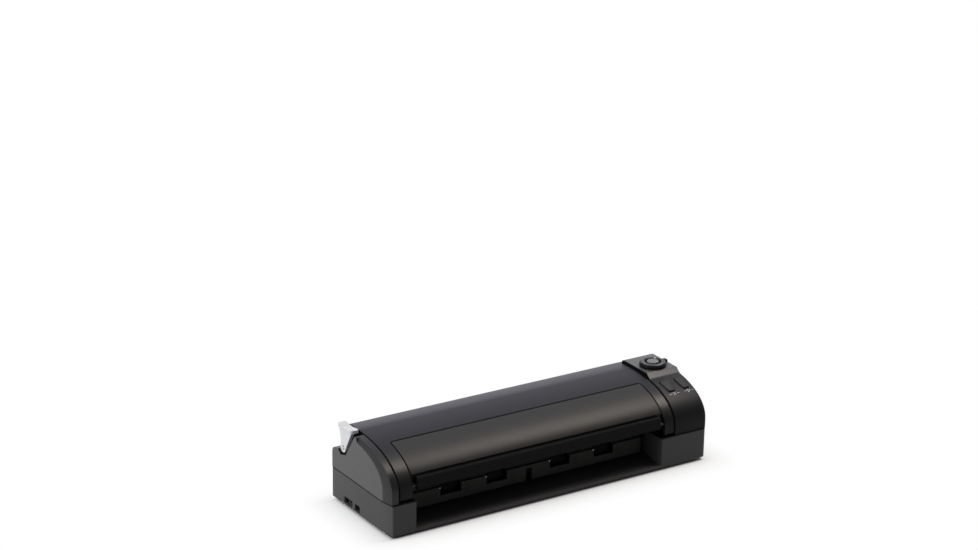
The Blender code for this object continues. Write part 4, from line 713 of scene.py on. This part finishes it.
@dataclass
class Studio:
    """Floor, lamps, world and the camera at the photograph's view."""

    position: Place = (-0.9759, -1.4512, 0.7911)
    yaw: float = 32.98
    pitch: float = 19.66
    roll: float = 0.97
    focal_pixels: float = 2478.3
    image_width: float = 978.0
    sensor_width: float = 36.0
    clip_end: float = 50.0
    floor_half: float = 6.0
    floor_points: int = 9
    floor_colour: Colour = (0.90, 0.90, 0.90)
    floor_bounce: Colour = (0.40, 0.40, 0.40)
    floor_roughness: float = 0.9
    floor_specular: float = 0.1
    footprint: Place = (0.142, 0.041, 0.0)
    fade_reach: float = 0.030
    fade_power: float = 0.4
    ambient: float = 0.5
    room_dim: float = 0.35
    room_front: float = -0.6
    room_back: float = 0.3
    room_tint: Colour = (0.96, 0.97, 1.04)
    aim: Place = (0.0, 0.0, 0.03)
    lamps: tuple[Softbox, ...] = (
        Softbox("overhead_softbox", (-0.25, 0.45, 1.9), 2.2, 1.6, 8.0, (0.95, 0.97, 1.0)),
        Softbox("left_softbox", (-1.9, 0.25, 0.8), 1.2, 1.2, 27.0, WHITE),
        Softbox("warm_softbox", (0.875, -0.145, 1.45), 0.6, 0.5, 12.0, (1.0, 0.90, 0.80)),
    )

    def build(self) -> None:
        """Builds the stage in order and sets the view transform."""
        bpy.context.scene.view_settings.view_transform = "Standard"
        self._camera()
        self._world()
        self._floor()
        for lamp in self.lamps:
            self._lamp(lamp)

    def _camera(self) -> None:
        """Camera fitted to the photograph: yaw from +Y towards +X, then pitch down, then roll."""
        yaw, pitch, roll = (math.radians(angle) for angle in (self.yaw, self.pitch, self.roll))
        level = math.cos(pitch)
        ahead = Vector((math.sin(yaw) * level, math.cos(yaw) * level, -math.sin(pitch)))
        right = Vector((math.cos(yaw), -math.sin(yaw), 0.0))
        up = right.cross(ahead)
        turned_right = right * math.cos(roll) + up * math.sin(roll)
        turned_up = up * math.cos(roll) - right * math.sin(roll)
        data = bpy.data.cameras.new("photo_camera")
        data.sensor_fit = "HORIZONTAL"
        data.sensor_width = self.sensor_width
        data.lens = self.sensor_width * self.focal_pixels / self.image_width
        data.clip_end = self.clip_end
        camera = bpy.data.objects.new("photo_camera", data)
        matrix = Matrix((turned_right, turned_up, -ahead)).transposed().to_4x4()
        matrix.translation = Vector(self.position)
        camera.matrix_world = matrix
        bpy.context.scene.collection.objects.link(camera)
        bpy.context.scene.camera = camera

    def _world(self) -> None:
        """White to the camera, a plain soft level on the object, and a room that is dimmer at the front."""
        world = bpy.data.worlds.new("studio_world")
        world.use_nodes = True
        wires = Wiring(world.node_tree)
        path = wires.add("ShaderNodeLightPath")
        seen = wires.math("MAXIMUM", path["Is Camera Ray"], path["Is Transmission Ray"])
        around = wires.add("ShaderNodeTexCoord")["Generated"]
        depth = wires.add("ShaderNodeSeparateXYZ", {0: around})["Y"]
        span = (self.room_front, self.room_back, self.room_dim)
        room = wires.ramp(depth, *span, interpolation_type="SMOOTHSTEP")
        level = wires.ramp(path["Is Glossy Ray"], 0.0, 1.0, self.ambient)
        strength = wires.mix(seen, wires.math("MULTIPLY", room, level), 1.0)
        tint = wires.mix(seen, opaque(self.room_tint), opaque(WHITE), "RGBA")
        wires.put(wires.tree.nodes["Background"], {"Strength": strength, "Color": tint})
        bpy.context.scene.world = world

    def _floor(self) -> None:
        """Flat grid as a pale floor that keeps the shadow near the scanner and fades to white beyond."""
        line = np.linspace(-self.floor_half, self.floor_half, self.floor_points) / MM
        across, along = np.meshgrid(line, line, indexing="ij")
        floor = surface_object("studio_floor", [(np.stack([across, along, 0.0 * across], -1), False)])
        material = bpy.data.materials.new("pale_floor")
        material.use_nodes = True
        wires = Wiring(material.node_tree)
        shader = wires.tree.nodes["Principled BSDF"]
        path = wires.add("ShaderNodeLightPath")
        tones = (opaque(self.floor_colour), opaque(self.floor_bounce))
        tone = wires.mix(path["Is Diffuse Ray"], *tones, "RGBA")
        dull = {"Roughness": self.floor_roughness, "Specular IOR Level": self.floor_specular}
        wires.put(shader, {"Base Color": tone} | dull)
        sides = wires.vector("ABSOLUTE", wires.add("ShaderNodeTexCoord")["Object"])["Vector"]
        past = wires.vector("SUBTRACT", sides, self.footprint)["Vector"]
        reach = wires.vector("LENGTH", wires.vector("MAXIMUM", past)["Vector"])["Value"]
        fade = wires.math("POWER", wires.ramp(reach, 0.0, self.fade_reach), self.fade_power)
        mirrored = wires.math("MAXIMUM", path["Is Glossy Ray"], path["Is Transmission Ray"])
        direct = wires.math("MAXIMUM", path["Is Camera Ray"], mirrored)
        white = wires.add("ShaderNodeEmission")["Emission"]
        looks = {"Fac": wires.math("MULTIPLY", fade, direct), 1: shader.outputs["BSDF"], 2: white}
        blend = wires.add("ShaderNodeMixShader", looks)["Shader"]
        wires.put(wires.tree.nodes["Material Output"], {"Surface": blend})
        floor.data.materials.append(material)
        floor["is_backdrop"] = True

    def _lamp(self, box: Softbox) -> None:
        """An area lamp aimed at the middle of the scanner.

        Args:
            box: The lamp's values.
        """
        data = bpy.data.lights.new(box.name, "AREA")
        data.shape = "RECTANGLE"
        data.size = box.width
        data.size_y = box.height
        data.energy = box.power
        data.color = box.colour
        lamp = bpy.data.objects.new(box.name, data)
        lamp.location = box.place
        lamp.rotation_euler = (Vector(self.aim) - Vector(box.place)).to_track_quat("-Z", "Y").to_euler()
        bpy.context.scene.collection.objects.link(lamp)


@dataclass
class Crown:
    """The crown's side profile, a superellipse from the front face up to the top."""

    front: float = -42.2
    run: float = 62.0
    rise: float = 29.6
    base: float = 34.0
    power: float = 2.2
    step: float = 0.01

    def height(self, depth: Array) -> Array:
        """Height over a place in depth: base + rise * (1 - share^power)^(1/power)."""
        share = np.clip((self.front + self.run - depth) / self.run, 0.0, 1.0)
        return self.base + self.rise * (1.0 - share**self.power) ** (1.0 / self.power)

    def on(self, across: Array, depth: Array, lift: Array) -> Array:
        """Points lifted off the crown along its normal.

        Args:
            across: X places in millimetres.
            depth: Y places in millimetres.
            lift: Distance off the surface in millimetres.

        Returns:
            Points, the crown's height plus lift along the normal found from a small step in depth.
        """
        height = self.height(depth)
        slope = (self.height(depth + self.step) - self.height(depth - self.step)) / (2 * self.step)
        length = np.sqrt(1.0 + slope**2)
        return np.stack([across, depth - lift * slope / length, height + lift / length], -1)


@dataclass
class Trim:
    """Base of the sub-assemblies: it dresses new pieces and puts them on their bodies."""

    materials: MaterialShop

    def fit(
        self, piece: bpy.types.Object, finish: Finish, body: str, slot: str, stands_for: str | None = None
    ) -> None:
        """Gives a piece its finish and body.

        Args:
            piece: The new piece.
            finish: Its finish.
            body: CAD body that it moves with.
            slot: Not used.
            stands_for: CAD node that it is shown in place of.
        """
        piece.data.materials.append(self.materials.get(finish))
        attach(piece, body)
        if stands_for:
            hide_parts(stands_for)
        log.info("%s rides on %s in %s", piece.name, body, finish.name)


@dataclass
class NodeDress(Trim):
    """Gives every CAD node the finish of its own material."""

    crease: float = 30.0
    merge_distance: float = 1e-6

    def build(self, nodes: dict[str, bpy.types.Object]) -> None:
        """Puts the finishes into the material slots of the nodes and smooths their round faces.

        Args:
            nodes: CAD nodes by name.
        """
        shading = self._soft_shading()
        for name, node in nodes.items():
            finish = self._finish(name)
            material = self.materials.get(finish)
            for place in node.material_slots:
                place.material = material
            modifier = node.modifiers.new("soft_shading", "NODES")
            modifier.node_group = shading
            log.info("node %s in %s", name, finish.name)

    def _soft_shading(self) -> bpy.types.NodeTree:
        """Geometry nodes that join the facets of a node and shade them smooth, apart from its creases.

        Returns:
            The node tree of the modifier.
        """
        tree = bpy.data.node_groups.new("scanner_soft_shading", "GeometryNodeTree")
        for way in ("INPUT", "OUTPUT"):
            tree.interface.new_socket("Geometry", in_out=way, socket_type="NodeSocketGeometry")
        wires = Wiring(tree)
        angle = wires.add("GeometryNodeInputMeshEdgeAngle")["Unsigned Angle"]
        sharp = wires.add("FunctionNodeCompare", {"A": angle, "B": math.radians(self.crease)})["Result"]
        shape = wires.add("NodeGroupInput")[0]
        shape = wires.add("GeometryNodeMergeByDistance", {0: shape, "Distance": self.merge_distance})[0]
        shape = wires.add("GeometryNodeSetMeshNormal", {0: shape, "Remove Custom": True})[0]
        shape = wires.add("GeometryNodeSetShadeSmooth", {0: shape, "Shade Smooth": True}, domain="FACE")[0]
        creased = {0: shape, "Selection": sharp, "Shade Smooth": False}
        shape = wires.add("GeometryNodeSetShadeSmooth", creased, domain="EDGE")[0]
        wires.add("NodeGroupOutput", {0: shape})
        return tree

    @staticmethod
    def _finish(name: str) -> Finish:
        """The finish of a node, by its name or by a word in it."""
        fits = (finish for stems, finish in STEM_FINISHES.items() if any(stem in name for stem in stems))
        return NODE_FINISHES.get(name) or next(fits, Finishes.INNER_BLACK)


@dataclass
class HeadMarks(Trim):
    """Printed signs of the control head, one below each key."""

    crown: Crown = field(default_factory=Crown)
    print_lift: float = 0.05
    sign_ahead: float = 8.8
    sign_aside: float = 1.0
    sign_size: float = 1.3
    dash_gap: float = 2.4
    dash_lengths: tuple[float, float] = (2.6, 1.7)
    stroke: float = 0.5
    stroke_points: int = 7

    def build(self) -> None:
        """Builds a cross for the cancel key and a triangle for the scan key, each between two dashes."""
        cross = [(-1.0, -1.0, 1.0, 1.0), (-1.0, 1.0, 1.0, -1.0)]
        triangle = [(-0.9, -1.0, -0.9, 1.0), (-0.9, 1.0, 1.0, 0.0), (1.0, 0.0, -0.9, -1.0)]
        grids = self._sign("cancel_key", cross, self.dash_lengths[0])
        grids += self._sign("scan_key", triangle, self.dash_lengths[1])
        self.fit(surface_object("key_signs", grids), Finishes.PRINTED, "base", "silver")

    def _sign(self, key: str, strokes: list[tuple[float, float, float, float]], dash: float) -> list[Grid]:
        """Grids of one sign.

        Args:
            key: The key that it stands below.
            strokes: Ends of its strokes, from -1 to 1.
            dash: Length of the dash on each side, in millimetres.

        Returns:
            Two grids for each stroke and dash.
        """
        low, high = node_box(key)
        centre = (low + high)[:2] / 2 + np.array([self.sign_aside, -self.sign_ahead])
        lines = [np.array(ends).reshape(2, 2) * self.sign_size for ends in strokes]
        for side in (-1.0, 1.0):
            lines.append(np.array([[side * self.dash_gap, 0.0], [side * (self.dash_gap + dash), 0.0]]))
        return [grid for start, end in lines for grid in self._stroke(centre + start, centre + end)]

    def _stroke(self, start: Array, end: Array) -> list[Grid]:
        """A printed stroke: middle + u * half length along + v * half width across, under a pillow.

        Args:
            start: First end in plan.
            end: Second end in plan.

        Returns:
            Grid of the printed face, and the grid of its underside that closes it.
        """
        first, second, height = pillow(self.stroke_points)
        length = float(np.linalg.norm(end - start))
        along = (end - start) / length * (1.0 if end.sum() > start.sum() else -1.0)
        side = np.array([-along[1], along[0]])
        reach = first[..., None] * along * (length + self.stroke) / 2
        plan = (start + end) / 2 + reach + second[..., None] * side * self.stroke / 2
        face = self.crown.on(plan[..., 0], plan[..., 1], (height * 2 - 1) * self.print_lift)
        under = self.crown.on(plan[..., 0], plan[..., 1], height * 0 - self.print_lift)
        return [(face[::-1], False), (under, False)]


@dataclass
class DialShell(Trim):
    """Selector dial with a sloped rim, a well for the cap and a thumb lug."""

    stem_radius: float = 2.6
    seat_drop: float = 3.4
    wall_height: float = 2.5
    rim_inner: float = 9.7
    well_radius: float = 6.8
    well_depth: float = 1.6
    corner: float = 0.12
    segments: int = 64
    lug_root: float = 4.0
    lug_half: float = 2.3
    lug_height: float = 2.9
    lug_scales: tuple[float, ...] = (0.0, 0.94, 1.0, 1.0, 0.94, 0.8, 0.0)
    lug_levels: tuple[float, ...] = (0.12, 0.12, 0.2, 0.8, 0.96, 1.0, 1.0)
    lug_segments: int = 32
    mark_angle: float = 41.6
    mark_reach: float = 7.3
    mark_radius: float = 1.0
    mark_lift: float = 0.2
    mark_rings: int = 6

    def build(self) -> None:
        """Builds the turned shell with its lug as one piece, and the white mark, on the dial's body."""
        cap_low, cap_high = node_box("dial_cap")
        low, high = node_box("selector_dial")
        centre = (cap_low + cap_high)[:2] / 2
        radius = float(high[1] - centre[1])
        seat = float(high[2]) - self.seat_drop
        shell = self._turned(centre, self._profile(radius, float(low[2]), seat, float(high[2])))
        lug = self._lug(centre, radius, float(high[0]), seat)
        piece = surface_object("dial_shell", [(shell, True), (lug, True)])
        self.fit(piece, Finishes.DIAL, "dial", "charcoal", "selector_dial")
        mark = surface_object("dial_mark", [(self._mark(centre, float(high[2])), True)])
        self.fit(mark, Finishes.PRINTED, "dial", "silver")

    def _mark(self, centre: Array, top: float) -> Array:
        """Low domed dot: rings of radius * sin at a height of lift * cos of the polar angle, closed below.

        Args:
            centre: Axis of the dial in plan.
            top: Height of the dial's top face.

        Returns:
            Grid of points whose columns wrap.
        """
        angle = math.radians(self.mark_angle)
        middle = centre + self.mark_reach * np.array([math.cos(angle), math.sin(angle)])
        polar = np.linspace(math.pi / 2, 0.0, self.mark_rings)
        radii = np.concatenate([[0.0], self.mark_radius * np.sin(polar)])
        levels = np.concatenate([[top], top + self.mark_lift * np.cos(polar)])
        return self._turned(middle, np.stack([radii, levels], -1))

    def _profile(self, radius: float, foot: float, seat: float, top: float) -> Array:
        """Radius and height of each ring, from the foot of the stem round to the floor of the well.

        Each corner is a pair of rings close together, so that the faces beside it stay flat.

        Args:
            radius: Outer radius.
            foot: Height of the stem's foot.
            seat: Height of the dial's underside.
            top: Height of its top face.

        Returns:
            Array of shape (rings, 2).
        """
        corner = self.corner
        wall = seat + self.wall_height
        slope = np.array([self.rim_inner - radius, top - wall])
        step = slope / np.linalg.norm(slope) * corner
        floor = top - self.well_depth
        rings = [
            (0.0, foot),
            (self.stem_radius, foot),
            (self.stem_radius, seat),
            (radius - corner, seat),
            (radius, seat + corner),
            (radius, wall - corner),
            (radius + step[0], wall + step[1]),
            (self.rim_inner - step[0], top - step[1]),
            (self.rim_inner - corner, top),
            (self.well_radius + corner, top),
            (self.well_radius, top - corner),
            (self.well_radius, floor),
            (0.0, floor),
        ]
        return np.array(rings)

    def _turned(self, centre: Array, rings: Array) -> Array:
        """Surface of revolution: centre + radius * (cos, sin) of the turn, at the height of each ring."""
        across, along = wheel(rings[:, 0], self.segments)
        return np.stack([centre[0] + across, centre[1] + along, rings[:, 1:] + 0.0 * across], -1)

    def _lug(self, centre: Array, radius: float, reach: float, seat: float) -> Array:
        """Thumb lug: superellipse rings drawn in towards the top and closed at both ends.

        Args:
            centre: Axis of the dial in plan.
            radius: Outer radius of the dial.
            reach: X place of the lug's tip.
            seat: Height of the dial's underside.

        Returns:
            Grid of points whose columns wrap.
        """
        root = float(centre[0]) + radius - self.lug_root
        first, second = squircle(self.lug_segments)
        scale = np.array(self.lug_scales)[:, None]
        across = (root + reach) / 2 + scale * first * (reach - root) / 2
        along = centre[1] + scale * second * self.lug_half
        level = seat + self.lug_height * np.array(self.lug_levels)[:, None] + 0.0 * first
        return np.stack([across, along, level], -1)


@dataclass
class FeedTrim(Trim):
    """Ribs that lead the sheet and clips of the axle, on the upper guide beside each roller window."""

    windows: tuple[int, ...] = (1, 2, 3, 4)
    rib_offsets: tuple[float, ...] = (13.2, 15.4)
    rib_width: float = 1.0
    rib_proud: float = 0.35
    rib_bottom: float = 12.6
    rib_top: float = 22.6
    rib_columns: int = 9
    rib_rows: int = 15
    clip_offset: float = -9.8
    clip_height: float = 22.4
    clip_radius: float = 0.6
    clip_rings: int = 7
    clip_segments: int = 16
    sink: float = 0.05

    def build(self) -> None:
        """Builds the ribs and clips beside the four windows."""
        face = node_box("upper_paper_guide")[0][1]
        rollers = [node_box(f"front_pinch_roller_{number}") for number in self.windows]
        places = [float(low[0] + high[0]) / 2 for low, high in rollers]
        middles = [place + offset for place in places for offset in self.rib_offsets]
        self.fit(surface_object("guide_ribs", self._ribs(middles, face)), Finishes.GUIDE, "cover", "inner")
        clips = [(self._clip(place + self.clip_offset, face), True) for place in places]
        self.fit(surface_object("axle_clips", clips), Finishes.STEEL, "cover", "steel")

    def _clip(self, across: float, face: float) -> Array:
        """A clip's bright nose: half a ball about Y, radius * (cos, sin) of the polar angle, closed behind.

        Args:
            across: X place of the clip.
            face: Y place of the guide's face.

        Returns:
            Grid of points whose columns wrap.
        """
        polar = np.linspace(0.0, math.pi / 2, self.clip_rings)
        back = face + self.sink
        radii = self.clip_radius * np.append(np.sin(polar), [1.0, 0.0])
        depth = np.append(face - self.clip_radius * np.cos(polar), [back, back])[:, None]
        rise, aside = wheel(radii, self.clip_segments)
        return np.stack([across + aside, depth + 0.0 * aside, self.clip_height + rise], -1)

    def _ribs(self, middles: list[float], face: float) -> list[Grid]:
        """Upright ribs: depth = face - proud * cos^2 across * end taper, a rounded section up the face.

        Args:
            middles: X places of the ribs.
            face: Y place of the guide's face.

        Returns:
            The face of each rib and the underside that closes it.
        """
        line = np.linspace(-1.0, 1.0, self.rib_columns)
        upward = np.sin(np.linspace(-math.pi / 2, math.pi / 2, self.rib_rows))
        side, rise = np.meshgrid(line, upward, indexing="ij")
        swell = np.cos(side * math.pi / 2) ** 2 * (1 - rise**10)
        back = face + self.sink + 0.0 * side
        depth = back - (self.rib_proud + self.sink) * swell
        height = (self.rib_top + self.rib_bottom) / 2 + rise * (self.rib_top - self.rib_bottom) / 2
        grids = []
        for middle in middles:
            across = middle + side * self.rib_width / 2
            grids.append((np.stack([across, depth, height], -1)[::-1], False))
            grids.append((np.stack([across, back, height], -1), False))
        return grids


@dataclass
class PortTrim(Trim):
    """Contacts inside the data socket: its tongue and the leaves on it."""

    tongue_ends: tuple[float, float] = (1.2, 8.2)
    tongue_level: float = 2.4
    tongue_share: float = 0.62
    tongue_thick: float = 0.7
    leaf_setback: float = 0.4
    leaf_spread: float = 0.66
    leaf_width: float = 0.8
    leaf_thick: float = 0.16
    leaf_count: int = 4
    nose_length: float = 0.2
    nose_scale: float = 0.8
    segments: int = 24

    def build(self) -> None:
        """Builds the tongue and the leaves on it."""
        low, high = node_box("usb_socket")
        middle = (low[1] + high[1]) / 2
        half = (high[1] - low[1]) / 2 * self.tongue_share
        level = low[2] + self.tongue_level
        start, end = (low[0] + place for place in self.tongue_ends)
        tongue = self._slab((start, end), middle, half, level, self.tongue_thick / 2)
        self.fit(surface_object("data_tongue", [(tongue, True)]), Finishes.INNER_BLACK, "base", "black")
        ends = (start + self.leaf_setback, end)
        under = level - self.tongue_thick / 2
        places = middle + np.linspace(-self.leaf_spread, self.leaf_spread, self.leaf_count) * half
        sizes = (self.leaf_width / 2, under, self.leaf_thick / 2)
        leaves = [(self._slab(ends, place, *sizes), True) for place in places]
        self.fit(surface_object("data_leaves", leaves), Finishes.GOLD, "base", "brass")

    def _slab(
        self, ends: tuple[float, float], middle: float, half: float, level: float, rise: float
    ) -> Array:
        """A slab with round edges: a superellipse carried along X, drawn in at its nose and closed.

        Args:
            ends: First and last X place.
            middle: Y place of its middle.
            half: Half of its width.
            level: Z place of its middle.
            rise: Half of its thickness.

        Returns:
            Grid of points whose columns wrap.
        """
        first, second = squircle(self.segments)
        along = np.array([ends[0], ends[0], ends[0] + self.nose_length, ends[1], ends[1]])[:, None]
        swell = np.array([0.0, self.nose_scale, 1.0, 1.0, 0.0])[:, None]
        across = middle + swell * first * half
        height = level + swell * second * rise
        return np.stack([along + 0.0 * first, across, height], -1)


@dataclass
class UndersideScrews(Trim):
    """Screw heads in the four wells of the bottom plate."""

    head_radius: float = 1.9
    head_rise: float = 0.55
    rim_start: float = 1.35
    cross_width: float = 0.34
    cross_reach: float = 1.25
    cross_depth: float = 0.45
    inset_x: tuple[float, float] = (2.4, 3.0)
    front_y: float = 20.5
    rear_y: float = 3.2
    well_depth: float = 1.0
    sink: float = 0.05
    inner_rings: int = 9
    outer_rings: int = 7
    segments: int = 48

    def build(self) -> None:
        """Builds the four heads as one piece."""
        low, high = node_box("bottom_plate")
        places = [
            (x, y)
            for x in (low[0] + self.inset_x[0], high[0] - self.inset_x[1])
            for y in (low[1] + self.front_y, high[1] - self.rear_y)
        ]
        seat = low[2] + self.well_depth
        grids = [(self._head(np.array(place), seat), True) for place in places]
        self.fit(surface_object("plate_screws", grids), Finishes.STEEL, "base", "steel")

    def _head(self, centre: Array, seat: float) -> Array:
        """Pan head: a low dome of revolution with a cross pressed into it, closed at its back.

        The height at radius r is rise * sqrt(1 - (r / R)^4), less depth * (1 - r / reach) where the point
        lies within the cross's half width of either axis.

        Args:
            centre: Place of the screw in plan.
            seat: Z place of the bottom of its well.

        Returns:
            Grid of points whose columns wrap.
        """
        inner = np.linspace(0.0, self.cross_reach, self.inner_rings)
        outer = np.linspace(self.rim_start, self.head_radius, self.outer_rings)
        reach = np.concatenate([inner, outer])
        x, y = wheel(reach, self.segments)
        radius = reach[:, None]
        dome = self.head_rise * np.sqrt(np.clip(1 - (radius / self.head_radius) ** 4, 0.0, 1.0))
        inside = (np.minimum(np.abs(x), np.abs(y)) < self.cross_width) & (radius < self.cross_reach)
        down = dome - inside * self.cross_depth * (1 - radius / self.cross_reach)
        head = np.stack([centre[0] + x, centre[1] + y, seat - down], -1)
        back = head[[-1, 0]]
        back[1, :, :2] = centre
        back[..., 2] = seat + self.sink
        return np.concatenate([head, back])


def write_sizes(before: list[list[float]], after: list[list[float]]) -> None:
    """Writes the CAD box and the visual model's box as plain lists.

    Args:
        before: Corners of the CAD box.
        after: Corners of the visual model's box.
    """
    log.info("size of CAD %s and of visual model %s", before, after)


def corners(bounds: tuple) -> list[list[float]]:
    """Corners of a box as plain lists of numbers."""
    return [[float(value) for value in corner] for corner in bounds]


def main() -> None:
    """Loads the frame, dresses it and sets the stage."""
    logging.basicConfig(level=logging.INFO, format="%(name)s: %(message)s")
    for old in list(bpy.data.objects):
        bpy.data.objects.remove(old)
    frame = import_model()
    cad_box = corners(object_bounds())
    materials = MaterialShop(GroupShop())
    NodeDress(materials).build(frame["nodes"])
    HeadMarks(materials).build()
    DialShell(materials).build()
    FeedTrim(materials).build()
    PortTrim(materials).build()
    UndersideScrews(materials).build()
    Studio().build()
    write_sizes(cad_box, corners(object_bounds()))


if __name__ == "__main__":
    main()
